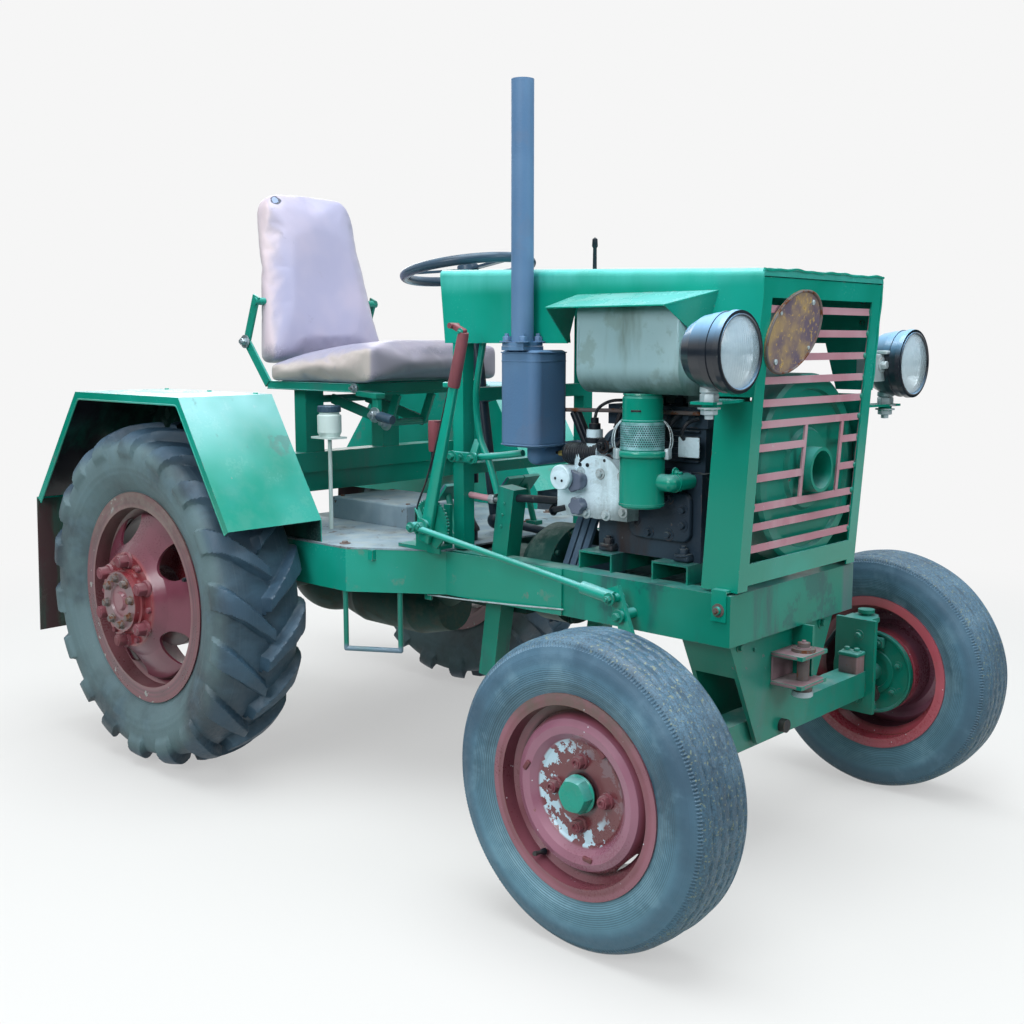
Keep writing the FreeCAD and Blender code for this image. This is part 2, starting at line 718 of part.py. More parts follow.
def gearbox():
    """Clutch bell and car gearbox on a cross bar, with the shaft case back to the rear axle."""
    bell_axis = Vector(0, clutch_y, clutch_z)
    bell = turned([(bell_front - 95.0, 0.0), (bell_front - 95.0, 96.0), (bell_front - 70.0, 112.0),
                   (bell_front, 112.0), (bell_front, 0.0)], bell_axis, ALONG, UP)
    case = block(bell_front - 365.0, bell_front - 94.0, clutch_y - 78.0, clutch_y + 78.0,
                 clutch_z - 94.0, clutch_z + 34.0)
    link = rod(Vector(480.0, -30.0, 430.0), Vector(bell_front - 345.0, clutch_y, clutch_z - 40.0), 46.0)
    centre = Vector(0, -20.0, rear_tyre_radius - 45.0)
    # distance along X, radius: the case in front of the rear axle
    stations = [(128.3, 0.0), (128.3, 70.0), (190.0, 84.0), (400.0, 84.0), (500.0, 60.0), (500.0, 0.0)]
    rear_case = turned(stations, centre, ALONG, UP)
    inner = frame_half - rail_wall - 0.3
    bar_x = bell_front - 345.0
    bar_low = rail_bottom + rail_wall
    bar = block(bar_x, bar_x + 40.0, -inner, inner, bar_low, bar_low + 30.0)
    save("gearbox", fused([bell, case, link, rear_case, bar]))


def drive_belts():
    """Three flat belts from the engine pulley down to the clutch pulley, with both pulleys."""
    upper = Vector(0, crank_y, crank_z)
    lower = Vector(0, clutch_y, clutch_z)
    way = lower - upper
    side_dir = Vector(0, way.z, -way.y)
    side_dir.normalize()
    pieces = []
    for x in belt_places:
        top = upper + ALONG * x
        foot = lower + ALONG * x
        outline = [top + side_dir * upper_pulley, foot + side_dir * lower_pulley,
                   foot - side_dir * lower_pulley, top - side_dir * upper_pulley]
        loop = fused([panel(outline, ALONG * belt_width),
                      Part.makeCylinder(upper_pulley, belt_width, top, ALONG),
                      Part.makeCylinder(lower_pulley, belt_width, foot, ALONG)])
        inside = [top + side_dir * (upper_pulley - belt_thick), foot + side_dir * (lower_pulley - belt_thick),
                  foot - side_dir * (lower_pulley - belt_thick), top - side_dir * (upper_pulley - belt_thick)]
        pieces.append(loop.cut(panel([point - ALONG for point in inside], ALONG * (belt_width + 2.0))))
    x0 = belt_places[0] - 3.0
    x1 = belt_places[-1] + belt_width + 3.0
    for centre, radius in ((upper, upper_pulley - belt_thick), (lower, lower_pulley - belt_thick)):
        pieces.append(Part.makeCylinder(radius, x1 - x0, centre + ALONG * x0, ALONG))
    pieces.append(Part.makeCylinder(28.0, engine_rear - 0.3 - x1, upper + ALONG * x1, ALONG))
    pieces.append(Part.makeCylinder(30.0, x0 - bell_front - 0.3, lower + ALONG * (bell_front + 0.3), ALONG))
    save("drive_belts", fused(pieces))


def engine():
    low = engine_bottom
    crankcase = block(engine_rear, engine_front, -engine_half, engine_half, low, 800.0)
    barrel = block(engine_rear + 20.0, engine_front - 10.0, -engine_half + 25.0, engine_half - 25.0, 799.0,
                   engine_top - 40.0)
    head = block(engine_rear + 10.0, engine_front, -engine_half + 15.0, engine_half - 15.0,
                 engine_top - 41.0, engine_top)
    crank = rod(Vector(engine_front - 1.0, crank_y, crank_z),
                Vector(flywheel_front - flywheel_width, crank_y, crank_z), 40.0)
    save("engine_block", fused([crankcase, barrel, head, crank]))


def flywheel_housing():
    centre = Vector(0, crank_y, crank_z)
    front = flywheel_front
    rear = flywheel_front - flywheel_width
    profile = [(rear, 0.0), (rear, flywheel_radius), (front - 8.0, flywheel_radius),
               (front - 2.0, flywheel_radius - 8.0), (front - 2.0, flywheel_radius - 30.0),
               (front - 10.0, flywheel_radius - 34.0), (front - 12.0, 84.0), (front - 4.0, 78.0),
               (front - 4.0, tube_radius), (front + tube_reach, tube_radius),
               (front + tube_reach, tube_bore), (front + tube_reach - tube_depth, tube_bore),
               (front + tube_reach - tube_depth, 0.0)]
    save("flywheel_housing", turned(profile, centre, ALONG, UP))


def gear_case():
    """Light alloy case on the right of the engine, with its two knobs and the pump."""
    face = -engine_half
    x = engine_rear
    level = crank_z
    case_rear = x - 72.0
    case_foot = level - 109.0
    case_depth = 52.0
    case = block(case_rear, x + 114.0, face - case_depth, face, case_foot, case_foot + 103.0)
    hub = Vector(x + 36.0, face, level - 44.0)
    shoulder = rod(hub - LEFT * case_depth, hub, 66.0)
    # forward of the case's rear, above its foot, stand-out and radius of the two knobs
    knobs = [rod(Vector(case_rear + ahead, face - reach, case_foot + above),
                 Vector(case_rear + ahead, face - case_depth + 2.0, case_foot + above), radius)
             for ahead, above, reach, radius in ((32.0, 81.0, 74.0, 24.0), (60.0, 25.0, 66.0, 17.0))]
    at = lambda ahead, out, above: Vector(x + ahead, face - out, level + above)
    # start, end and radius of the pump's barrel, its riser, its pipe stub and its foot
    pump = [rod(at(-66.0, 20.0, 18.0), at(24.0, 20.0, 24.0), 21.0),
            rod(at(2.0, 20.0, 22.0), at(2.0, 20.0, 72.0), 17.0),
            rod(at(19.0, 20.0, 22.0), at(19.0, -5.0, 22.0), 18.0),
            rod(at(-26.0, 26.0, -11.0), at(-26.0, 26.0, 20.0), 16.0)]
    save("gear_case", fused([case, shoulder] + knobs + pump))


def air_cleaner():
    spot = Vector(engine_rear + 164.0, -hood_half - 5.0, 0)
    # height, radius of the stacked drum
    profile = [(735.0, 0.0), (735.0, 40.0), (741.0, 45.0), (836.0, 45.0), (838.0, 50.0),
               (846.0, 50.0), (848.0, 43.0), (905.0, 43.0), (907.0, 40.0), (950.0, 40.0),
               (957.0, 36.0), (957.0, 0.0)]
    drum = turned(profile, spot, UP, ALONG)
    wall = -engine_half - 0.3
    bend = spot + Vector(64.0, 6.0, 786.0)
    elbow = bent_rod([spot + UP * 790.0, bend, Vector(bend.x, wall, bend.z)], 17.0)
    stay = block(spot.x - 15.0, spot.x + 15.0, spot.y + 36.0, wall, 742.0, 752.0)
    save("air_cleaner", fused([drum, elbow, stay]))


def fuel_tank():
    """Sheet tank across the engine, rounded more along its bottom edges, with its filler cap."""
    tank = block(tank_rear, tank_front, tank_right, tank_left, tank_bottom, tank_top)
    for edge_z, radius in ((tank_bottom, tank_low_round), (tank_top, tank_high_round)):
        edges = [edge for edge in tank.Edges
                 if edge.BoundBox.XLength > tank_top - tank_bottom - 100.0
                 and abs(edge.BoundBox.Center.z - edge_z) < 1.0 and edge.BoundBox.YLength < 1.0]
        tank = tank.makeFillet(radius, edges)
    neck = Vector(tank_rear + 113.0, -60.0, tank_top)
    cap = rod(neck - UP, neck + UP * 28.0, 32.0)
    feet = [block(x, x + 30.0, -140.0, 40.0, engine_top, tank_bottom + 1.0)
            for x in (tank_rear + 23.0, tank_front - 82.0)]
    save("fuel_tank", fused([tank, cap] + feet))


def exhaust():
    """Box muffler under the bonnet's edge, with the stack rising outside the bonnet."""
    body = block(muffler_x - 53.0, muffler_x + 53.0, muffler_y - 56.0, muffler_y + 56.0,
                 muffler_bottom, muffler_top)
    body = body.makeFillet(22.0, [edge for edge in body.Edges if edge.BoundBox.ZLength > 100.0])
    body = body.makeFillet(10.0, [edge for edge in body.Edges if edge.BoundBox.ZLength < 1.0])
    flange_top = muffler_top + 8.0
    flange = block(muffler_x - 31.0, muffler_x + 31.0, stack_y - 31.0, stack_y + 31.0,
                   muffler_top - 0.5, flange_top)
    elbow = bent_rod([Vector(muffler_x, muffler_y + 12.0, muffler_bottom + 4.0),
                      Vector(muffler_x, muffler_y + 12.0, muffler_bottom - 20.0),
                      Vector(muffler_x + 32.0, exhaust_port_y, exhaust_port_z),
                      Vector(engine_rear + 19.7, exhaust_port_y, exhaust_port_z)], 22.0)
    save("exhaust_muffler", fused([body, flange, elbow]))
    base = Vector(muffler_x, stack_y, flange_top + 0.3)
    pipe = tube(base, Vector(muffler_x, stack_y, stack_top), stack_radius, stack_radius - 2.5)
    collar = block(muffler_x - 30.0, muffler_x + 30.0, stack_y - 30.0, stack_y + 30.0, base.z, base.z + 8.0)
    collar = collar.cut(rod(base - UP, base + UP * 20.0, stack_radius - 1.0))
    bolts = [rod(base + Vector(off, off, 7.0), base + Vector(off, off, 18.0), 6.0) for off in (-23.0, 23.0)]
    save("exhaust_pipe", fused([pipe, collar] + bolts))


# ---- bonnet and front ---------------------------------------------------------------------------
def grille_x(z):
    return grille_foot_x + (z - grille_foot) * grille_lean


def hood():
    """Folded sheet box: roof, two sides, dash panel and the visor bent out over the tank."""
    front_foot = 958.0
    profile = [(hood_rear, hood_rear_top), (hood_front, hood_front_top),
               (grille_x(front_foot) + 1.0, front_foot), (grille_x(front_foot) - post_depth, front_foot),
               (visor_front + 20.0, hood_skirt),
               (hood_rear + hood_rear_lean * (hood_rear_top - hood_skirt), hood_skirt)]
    outline = [Vector(x, -hood_half, z) for x, z in profile]
    outside = panel(outline, LEFT * (2 * hood_half))
    bend = 14.0
    long_edges = [edge for edge in outside.Edges
                  if edge.BoundBox.XLength > 500.0 and edge.BoundBox.ZMin > hood_front_top - 1.0]
    outside = outside.makeFillet(bend, long_edges)
    rise = (hood_front_top - hood_rear_top) / (hood_front - hood_rear)
    x1 = hood_front + 200.0
    low = 800.0
    roof = lambda x: hood_rear_top - hood_wall + (x - hood_rear) * rise
    x0 = hood_rear + hood_wall
    rear_low = x0 + hood_rear_lean * (hood_rear_top - low)
    hollow_line = [(x0, roof(x0)), (x1, roof(x1)), (x1, low), (rear_low, low)]
    hollow = panel([Vector(x, -hood_half + hood_wall, z) for x, z in hollow_line],
                   LEFT * (2 * (hood_half - hood_wall)))
    hollow = hollow.makeFillet(bend - hood_wall, [
        edge for edge in hollow.Edges if edge.BoundBox.XLength > 500.0 and edge.BoundBox.ZMin > low + 100.0])
    shell = outside.cut(hollow)
    window = [Vector(visor_rear - 29.0, -hood_half - 5.0, hood_skirt - 1.0),
              Vector(visor_rear, -hood_half - 5.0, visor_root),
              Vector(visor_front + 50.0, -hood_half - 5.0, visor_root),
              Vector(visor_front + 22.0, -hood_half - 5.0, hood_skirt - 1.0)]
    shell = shell.cut(panel(window, LEFT * 20.0))
    for side in (-1, 1):
        slot = block(hood_rear - 5.0, hood_rear + 40.0, side * 204.0, side * (hood_half - hood_wall),
                     hood_skirt - 5.0, hood_rear_top - 22.0)
        shell = shell.cut(slot)
    lip = block(hood_front - 3.5, hood_front - 1.0, -hood_half + 1.0, hood_half - 1.0,
                hood_front_top - 14.0, hood_front_top - 2.0)
    pieces = [shell, lip] + visor()
    save("hood", fused(pieces))


def visor():
    """Sheet bent outward above the tank, with a triangular gusset at each end."""
    root_y = -hood_half + hood_wall
    edge_y = -hood_half - visor_out
    down = Vector(0, 0, -hood_wall)
    rear_x = visor_rear - 2.0
    front_root_x = visor_front + 52.0
    root_z = visor_root + 4.0
    roof = [Vector(rear_x, root_y, root_z), Vector(front_root_x, root_y, root_z),
            Vector(visor_front, edge_y, visor_edge), Vector(rear_x, edge_y, visor_edge)]
    flat = panel([roof[0], roof[1], roof[2]], down)
    flat_b = panel([roof[0], roof[2], roof[3]], down)
    gusset = panel([roof[2], roof[1], Vector(visor_front + 22.0, root_y, hood_skirt)], ALONG * -hood_wall)
    rear = panel([roof[3], roof[0], Vector(rear_x - 29.0, root_y, hood_skirt)], ALONG * hood_wall)
    return [flat, flat_b, gusset, rear]


def grille():
    low = grille_foot
    high = hood_front_top - 16.0
    pieces = []
    for side in (-1, 1):
        out = side * (hood_half - hood_wall - 0.5)
        rear_low = grille_x(low) - post_depth
        rear_high = grille_x(post_plate_top) - post_depth
        plate = [Vector(grille_x(low), out, low), Vector(grille_x(post_plate_top), out, post_plate_top),
                 Vector(rear_high, out, post_plate_top), Vector(rear_low, out, low)]
        pieces.append(panel(plate, LEFT * (-side * post_wall)))
        face = [Vector(grille_x(low), out, low), Vector(grille_x(high), out, high),
                Vector(grille_x(high), out - side * post_flange, high),
                Vector(grille_x(low), out - side * post_flange, low)]
        pieces.append(panel(face, ALONG * -post_wall))
        foot_y = side * (frame_half + 0.5)
        x0 = frame_front - 40.0
        x1 = frame_front - 8.0
        pieces.append(block(x0, x1, out - side * 4.0, foot_y + side * 4.0, low, low + 5.0))
        pieces.append(block(x0, x1, foot_y, foot_y + side * 4.0, low - 56.0, low + 5.0))
        bolt = Vector((x0 + x1) / 2.0, foot_y, low - 34.0)
        pieces.append(rod(bolt, bolt + LEFT * (side * 13.0), 8.0))
        pieces += lamp_bracket(side)
    inner = hood_half - hood_wall - 0.5 - post_wall
    for z0, z1 in ((600.0, 642.0), (hood_front_top - 52.0, high)):
        rail = [Vector(grille_x(z0), -inner, z0), Vector(grille_x(z1), -inner, z1),
                Vector(grille_x(z1), inner, z1), Vector(grille_x(z0), inner, z0)]
        pieces.append(panel(rail, ALONG * -post_wall))
    save("grille_frame", fused(pieces))


def lamp_bracket(side):
    level = lamp_levels[side] - lamp_radius - 22.0
    root = side * (hood_half - hood_wall - 0.5 - post_wall)
    lamp_x = lamp_face - lamp_length + lamp_foot
    tip_y = side * (lamp_y + 24.0)
    arm = [Vector(frame_front - 50.0, root, level), Vector(frame_front + 10.0, root, level),
           Vector(lamp_x + 24.0, tip_y, level), Vector(lamp_x - 24.0, tip_y, level)]
    stud = rod(Vector(lamp_x, side * lamp_y, level - 18.0), Vector(lamp_x, side * lamp_y, level + 16.7), 9.0)
    nut = rod(Vector(lamp_x, side * lamp_y, level - 10.0), Vector(lamp_x, side * lamp_y, level), 14.0)
    return [panel(arm, UP * 5.0), stud, nut]


def grille_bars():
    """Flat bars behind the frame's flanges, tied by thin straps, open around the crank tube."""
    behind = post_wall + 1.0
    inner = hood_half - hood_wall - 0.5 - post_wall - 1.0
    pieces = []
    for z in bar_levels:
        spans = [(-inner, inner)]
        if z in cut_bars:
            spans = [(-inner, upright_places[0]), (upright_places[1], inner)]
        x = grille_x(z) - behind
        for y0, y1 in spans:
            pieces.append(block(x - bar_thick, x, y0, y1, z - bar_height / 2, z + bar_height / 2))
    above = bar_levels[bar_levels.index(cut_bars[0]) - 1]
    below = bar_levels[bar_levels.index(cut_bars[-1]) + 1]
    for y in upright_places:
        pieces.append(strap(y, below, above, behind, bar_thick))
    for side in (-1, 1):
        pieces.append(strap(side * (inner - 12.0), bar_levels[-1], bar_levels[0], behind + 1.0, 6.0))
    save("grille_bars", fused(pieces))


def strap(y, low, high, behind, thick):
    """Upright strap along the lean of the grille."""
    half = upright_width / 2
    outline = [Vector(grille_x(low) - behind, y - half, low), Vector(grille_x(high) - behind, y - half, high),
               Vector(grille_x(high) - behind, y + half, high), Vector(grille_x(low) - behind, y + half, low)]
    return panel(outline, ALONG * -thick)


def oval_plate():
    thick = 3.0
    ellipse = Part.Ellipse(Vector(0, 0, 0), oval_long, oval_short).toShape()
    plate = Part.Face(Part.Wire([ellipse])).extrude(UP * thick)
    plate.rotate(Vector(0, 0, 0), UP, oval_tilt)
    plate.rotate(Vector(0, 0, 0), Vector(1, 1, 1), 120.0)
    lean = math.degrees(math.atan(grille_lean))
    plate.rotate(Vector(0, 0, 0), LEFT, lean)
    plate.translate(Vector(grille_x(oval_z) + 0.3, oval_y, oval_z))
    save("oval_plate", plate)


def headlamps():
    shells = []
    lenses = []
    for side in (-1, 1):
        centre = Vector(lamp_face - lamp_length, side * lamp_y, lamp_levels[side])
        r = lamp_radius
        d = lamp_length
        # distance forward, radius: bullet outside, then back along the inside
        outside = [(0.0, 0.0), (1.5, r * 0.25), (8.0, r * 0.50), (24.0, r * 0.76), (46.0, r * 0.92),
                   (70.0, r * 0.985), (d - 10.0, r), (d - 10.0, r + 3.0), (d, r + 2.0), (d, r - 5.0),
                   (d - 12.0, r - 5.0), (50.0, r * 0.85), (26.0, r * 0.66), (12.0, r * 0.38), (8.0, 0.0)]
        foot = centre + ALONG * lamp_foot
        boss = rod(foot - UP * (r * 0.88), foot - UP * (r + 5.0), 12.0)
        shells.append(turned(outside, centre, ALONG, UP).fuse(boss))
        lens = [(d - 9.0, 0.0), (d - 9.0, r - 5.3), (d - 2.0, r - 5.3), (d + 5.0, r * 0.7), (d + 10.0, 0.0)]
        lenses.append(turned(lens, centre, ALONG, UP))
    save("headlamp_shells", Part.makeCompound(shells))
    save("headlamp_lenses", Part.makeCompound(lenses))


# ---- driver's place -----------------------------------------------------------------------------
def deck():
    line = [(deck_rear, deck_half), (deck_corner, deck_half), (deck_front, frame_half + 20.0)]
    half = [Vector(x, y, deck_level) for x, y in line]
    whole = half + [Vector(point.x, -point.y, deck_level) for point in reversed(half)]
    plate = panel(whole, UP * deck_wall)
    save("floor_deck", plate)
    skirts = []
    top = deck_level - 0.2
    low = rail_bottom
    for side in (-1, 1):
        route = [(deck_rear + 290.0, deck_half - skirt_wall), (deck_corner, deck_half - skirt_wall),
                 (deck_front, frame_half + 14.0), (skirt_front, frame_half + 0.3)]
        pieces = []
        for (xa, ya), (xb, yb) in zip(route, route[1:]):
            foot = [Vector(xa, side * ya, low), Vector(xb, side * yb, low),
                    Vector(xb, side * (yb + skirt_wall), low), Vector(xa, side * (ya + skirt_wall), low)]
            pieces.append(panel(foot, UP * (top - low)))
        x_stay = deck_rear + 340.0
        for x in (x_stay, deck_corner + 30.0):
            reach = deck_half - skirt_wall + 1.0 if x < deck_corner else deck_half - 30.0
            pieces.append(block(x, x + 30.0, side * (frame_half + 0.3), side * reach, top - 24.0, top))
        skirts.append(fused(pieces))
    save("side_skirts", Part.makeCompound(skirts))


def side_step():
    """Bent strip hung under the right skirt as a foothold."""
    drop = 346.0
    outer = Vector(deck_corner - 15.0, -(deck_half - skirt_wall - 6.3), 0)
    inner = Vector(deck_corner + 98.0, -(deck_half - 79.3), 0)
    steps = []
    for side in (-1, 1):
        a = Vector(outer.x, outer.y * -side, 0)
        b = Vector(inner.x, inner.y * -side, 0)
        points = [a + UP * 500.0, a + UP * drop, b + UP * drop, b + UP * 500.0]
        steps.append(bent_rod(points, 6.0))
    save("side_steps", Part.makeCompound(steps))


def fender(side):
    pieces = []
    wall = fender_wall
    inner = fender_in
    outer = fender_out
    line = list(fender_line)
    for (xa, za), (xb, zb) in zip(line, line[1:]):
        way = Vector(xb - xa, 0, zb - za)
        normal = Vector(way.z, 0, -way.x)
        normal.normalize()
        a = Vector(xa, side * inner, za)
        b = Vector(xb, side * inner, zb)
        sheet = [a, b, b + normal * wall, a + normal * wall]
        pieces.append(panel(sheet, LEFT * (side * (outer - inner))))
        lip = [a, b, b + normal * fender_lip, a + normal * fender_lip]
        strip = panel(lip, LEFT * (side * wall))
        strip.translate(LEFT * (side * (outer - inner - wall)))
        pieces.append(strip)
    foot = deck_level + deck_wall + 0.3
    side_wall = [Vector(x, side * inner, z) for x, z in line]
    side_wall += [Vector(line[-1][0], side * inner, foot), Vector(line[0][0], side * inner, foot)]
    pieces.append(panel(side_wall, LEFT * (side * wall)))
    foot_x, foot_z = line[0]
    flap_top = foot_z + 2.0
    flap_x = foot_x - 8.0
    flap_low_x = flap_x - 22.0
    flap_in = inner + 20.0
    flap = [Vector(flap_x, side * flap_in, flap_top), Vector(flap_x, side * outer, flap_top),
            Vector(flap_low_x, side * outer, flap_foot), Vector(flap_low_x, side * flap_in, flap_foot)]
    pieces.append(panel(flap, ALONG * wall))
    pieces.append(block(flap_x, foot_x + 6.0, side * inner, side * outer, foot_z - 2.0, flap_top))
    save("fender_" + side_name(side), fused(pieces))


def seat():
    top = seat_base + cushion_thick
    outline = [Vector(seat_rear, -seat_half, seat_base), Vector(seat_front, -seat_half, seat_base),
               Vector(seat_front, -seat_half, top), Vector(seat_rear, -seat_half, top - cushion_fall)]
    cushion = panel(outline, LEFT * (2.0 * seat_half))
    save("seat_cushion", cushion.makeFillet(cushion_round, cushion.Edges))
    lean = Vector(-back_lean, 0, 1)
    rise = back_high - back_low
    foot = Vector(back_foot_x, 0, back_low)
    head = foot + lean * rise
    outline = [foot + LEFT * back_half_low, head + LEFT * back_half_high,
               head - LEFT * back_half_high, foot - LEFT * back_half_low]
    back = panel(outline, Vector(-back_thick, 0, -back_thick * back_lean))
    back = back.makeFillet(back_round, back.Edges)
    save("seat_back", back)


def seat_frame():
    """Rails under the cushion and the two bent straps that hold the back rest by its sides."""
    level = seat_base - 0.3
    pieces = []
    slope = (back_half_low - back_half_high) / (back_high - back_low)
    pad = Vector(back_foot_x - back_thick / 2 - back_lean * 153.0, 0, back_low + 153.0)
    side_at_pad = back_half_low - slope * (153.0 - 10.0) - 0.5
    strap_y = back_half_low + 4.5
    for side in (-1, 1):
        y = side * seat_rail_y
        pieces.append(block(-24.0, 352.0, y - 15.0, y + 15.0, level - seat_rail, level))
        strap = side * strap_y
        low = Vector(-20.0, strap, level - 8.0)
        mid = Vector(-112.0, strap, 1058.0)
        top = pad + LEFT * strap + UP * 14.0
        pieces.append(beam(low, mid, 6.0, 26.0))
        pieces.append(beam(mid, top, 6.0, 26.0))
        pieces.append(rod(mid - LEFT * 3.0, mid + LEFT * 3.0, 14.0))
        pieces.append(rod(pad + LEFT * (side * side_at_pad), pad + LEFT * (strap + side * 8.0), 10.0))
    for x, length in ((-24.0, 30.0), (38.0, 48.0), (322.0, 30.0)):
        pieces.append(block(x, x + length, -seat_rail_y, seat_rail_y, level - seat_rail, level))
    save("seat_frame", fused(pieces))


def seat_stand():
    """Stacked cross beam between the fenders, two posts and the sprung linkage under the seat."""
    half = fender_in - 0.3
    split = (beam_low + beam_top) / 2.0
    x0 = beam_x - beam_depth
    pieces = [block(x0, beam_x, -half, half, split, beam_top),
              block(x0 + 8.0, beam_x - 8.0, -half, half, beam_low, split)]
    seat_low = seat_base - 0.3 - seat_rail - 0.3
    pivot_x, elbow_x, toe_x = 66.0, 300.0, 334.0
    pivot_z, elbow_z = 905.0, 850.0
    arm_y = 60.0
    for side in (-1, 1):
        y = side * arm_y
        elbow = Vector(elbow_x, y, elbow_z)
        pieces.append(block(beam_x - 52.0, beam_x - 4.0, side * 104.0, side * 164.0,
                            beam_top - 1.0, seat_low))
        pieces.append(beam(Vector(pivot_x + 4.0, y, pivot_z), elbow, 8.0, 26.0))
        pieces.append(beam(elbow, Vector(toe_x, y, seat_low - 8.0), 8.0, 24.0))
    pieces.append(rod(Vector(elbow_x, -arm_y - 10.0, elbow_z), Vector(elbow_x, arm_y + 10.0, elbow_z), 9.0))
    pieces.append(rod(Vector(pivot_x - 4.0, -110.0, pivot_z), Vector(pivot_x - 4.0, 110.0, pivot_z), 10.0))
    pieces.append(block(toe_x - 8.0, toe_x + 16.0, -120.0, 120.0, seat_low - 8.0, seat_low))
    save("seat_stand", fused(pieces))


def tunnel():
    """Raised cover over the gearbox between the driver's feet."""
    x0, x1 = 120.0, 420.0
    half = 110.0
    low = deck_level + deck_wall + 0.2
    high = low + 58.0
    cover = block(x0, x1, -half, half, low, high)
    cover = cover.makeFillet(6.0, [edge for edge in cover.Edges if edge.BoundBox.ZMin > high - 1.0])
    save("tunnel_cover", cover.cut(block(x0 + 3.0, x1 - 3.0, -half + 3.0, half - 3.0, low - 5.0, high - 3.0)))


def reservoir():
    spot = Vector(280.0, -240.0, 0)
    top_of_deck = deck_level + deck_wall + 0.3
    profile = [(822.0, 0.0), (822.0, 24.0), (834.0, 30.0), (876.0, 30.0), (880.0, 25.0), (884.0, 25.0),
               (884.0, 27.0), (897.0, 26.0), (897.0, 0.0)]
    pot = turned(profile, spot, UP, ALONG)
    pipe = rod(spot + UP * top_of_deck, spot + UP * 824.0, 5.0)
    plate = block(spot.x - 42.0, spot.x + 36.0, spot.y - 26.0, spot.y + 26.0, 818.0, 823.0)
    save("brake_reservoir", fused([pot, pipe, plate]))


def dash_frame():
    """Two uprights from the deck to the rear of the bonnet, tied by cross tubes."""
    x0 = dash_x
    x1 = x0 + 32.0
    half = hood_half - hood_wall - 0.3
    foot = deck_level + deck_wall + 0.3
    pieces = []
    for side in (-1, 1):
        pieces.append(block(x0, x1, side * half, side * (half - 34.0), foot, hood_skirt + 60.0))
    for z, size in ((925.0, 30.0), (760.0, 24.0)):
        pieces.append(block(x0, x1, -half, half, z, z + size))
    save("dash_frame", fused(pieces))


def hand_lever():
    pivot = Vector(dash_x + 7.0, lever_y, deck_level + 67.0)
    top = pivot + Vector(120.0, 0, 431.0)
    grip_start = pivot + (top - pivot) * 0.76
    pieces = [beam(pivot + Vector(-10.0, 0, -36.0), grip_start, 14.0, 34.0),
              rod(pivot + (top - pivot) * 0.74, top, 15.0),
              rod(grip_start + Vector(-24.0, 0, 14.0), pivot + Vector(-22.0, 0, 18.0), 3.0),
              rod(pivot - LEFT * 16.0, pivot + LEFT * 17.7, 13.0),
              beam(top + Vector(-30.0, 0, 8.0), top + Vector(4.0, 0, -6.0), 10.0, 12.0)]
    pieces.append(beam(grip_start + Vector(-26.0, 0, 8.0), grip_start + Vector(4.0, 0, 8.0), 8.0, 12.0))
    save("hand_lever", fused(pieces))


def lever_stand():
    """Base plates and cheeks that carry the hand lever and the two shift rods."""
    base = deck_level + deck_wall + 0.3
    # bridge plate spans from the deck forward over the rail
    rear = dash_x - 111.0
    front = dash_x - 1.0
    shaft = Vector(dash_x - 13.0, 0, deck_level + 55.0)
    pieces = [block(rear, front, -lever_cheek, -lever_inner, base, base + 8.0),
              block(front - 50.0, front, -lever_cheek, 8.0 - lever_cheek, base, deck_level + 93.0),
              rod(shaft - LEFT * lever_cheek, shaft - LEFT * lever_inner, 12.0),
              block(front - 20.0, front, -lever_inner - 8.0, -lever_inner, base, deck_level + 105.0)]
    save("lever_stand", fused(pieces))


def shift_levers():
    base = deck_level + deck_wall + 0.3
    pieces = []
    for x, y, top in ((dash_x - 39.0, -262.0, 880.0), (dash_x - 61.0, -120.0, 790.0)):
        foot = Vector(x, y, base + (8.0 if y < -200.0 else 0.0) + 0.2)
        head = Vector(x + 14.0, y, top)
        pieces.append(fused([rod(foot, head, 7.0),
                             rod(foot, foot + UP * 26.0, 22.0),
                             rod(head - UP * 62.0, head, 14.0)]))
    save("shift_levers", Part.makeCompound(pieces))


def pull_rod():
    start = Vector(dash_x - 9.0, lever_y - 26.0, deck_level + 65.0)
    end = Vector(frame_front - 238.0, -frame_half - 52.0, 556.0)
    way = end - start
    pieces = [rod(start, end, 7.0), rod(start + way * 0.86, end, 13.0),
              rod(start - LEFT * 10.0, start + LEFT * 9.7, 11.0),
              beam(end + Vector(-12.0, 16.0, 19.0), end + Vector(26.0, 16.0, -76.0), 10.0, 30.0),
              rod(end, end + LEFT * 26.0, 9.0),
              rod(end + Vector(10.0, 51.7, -36.0), end + Vector(10.0, 2.0, -36.0), 11.0)]
    save("pull_rod", fused(pieces))


def pedals():
    base = deck_level + deck_wall + 0.3
    foot = dash_x - 111.0
    pad = deck_level + 124.0
    pieces = []
    for y in (-110.0, 110.0, 170.0):
        pieces.append(fused([
            rod(Vector(foot, y, base + 4.0), Vector(foot - 30.0, y, pad - 19.0), 8.0),
            beam(Vector(foot - 40.0, y, pad - 31.0), Vector(foot - 8.0, y, pad + 7.0), 56.0, 8.0),
            block(foot - 16.0, foot + 16.0, y - 14.0, y + 14.0, base, base + 10.0)]))
    save("pedals", Part.makeCompound(pieces))


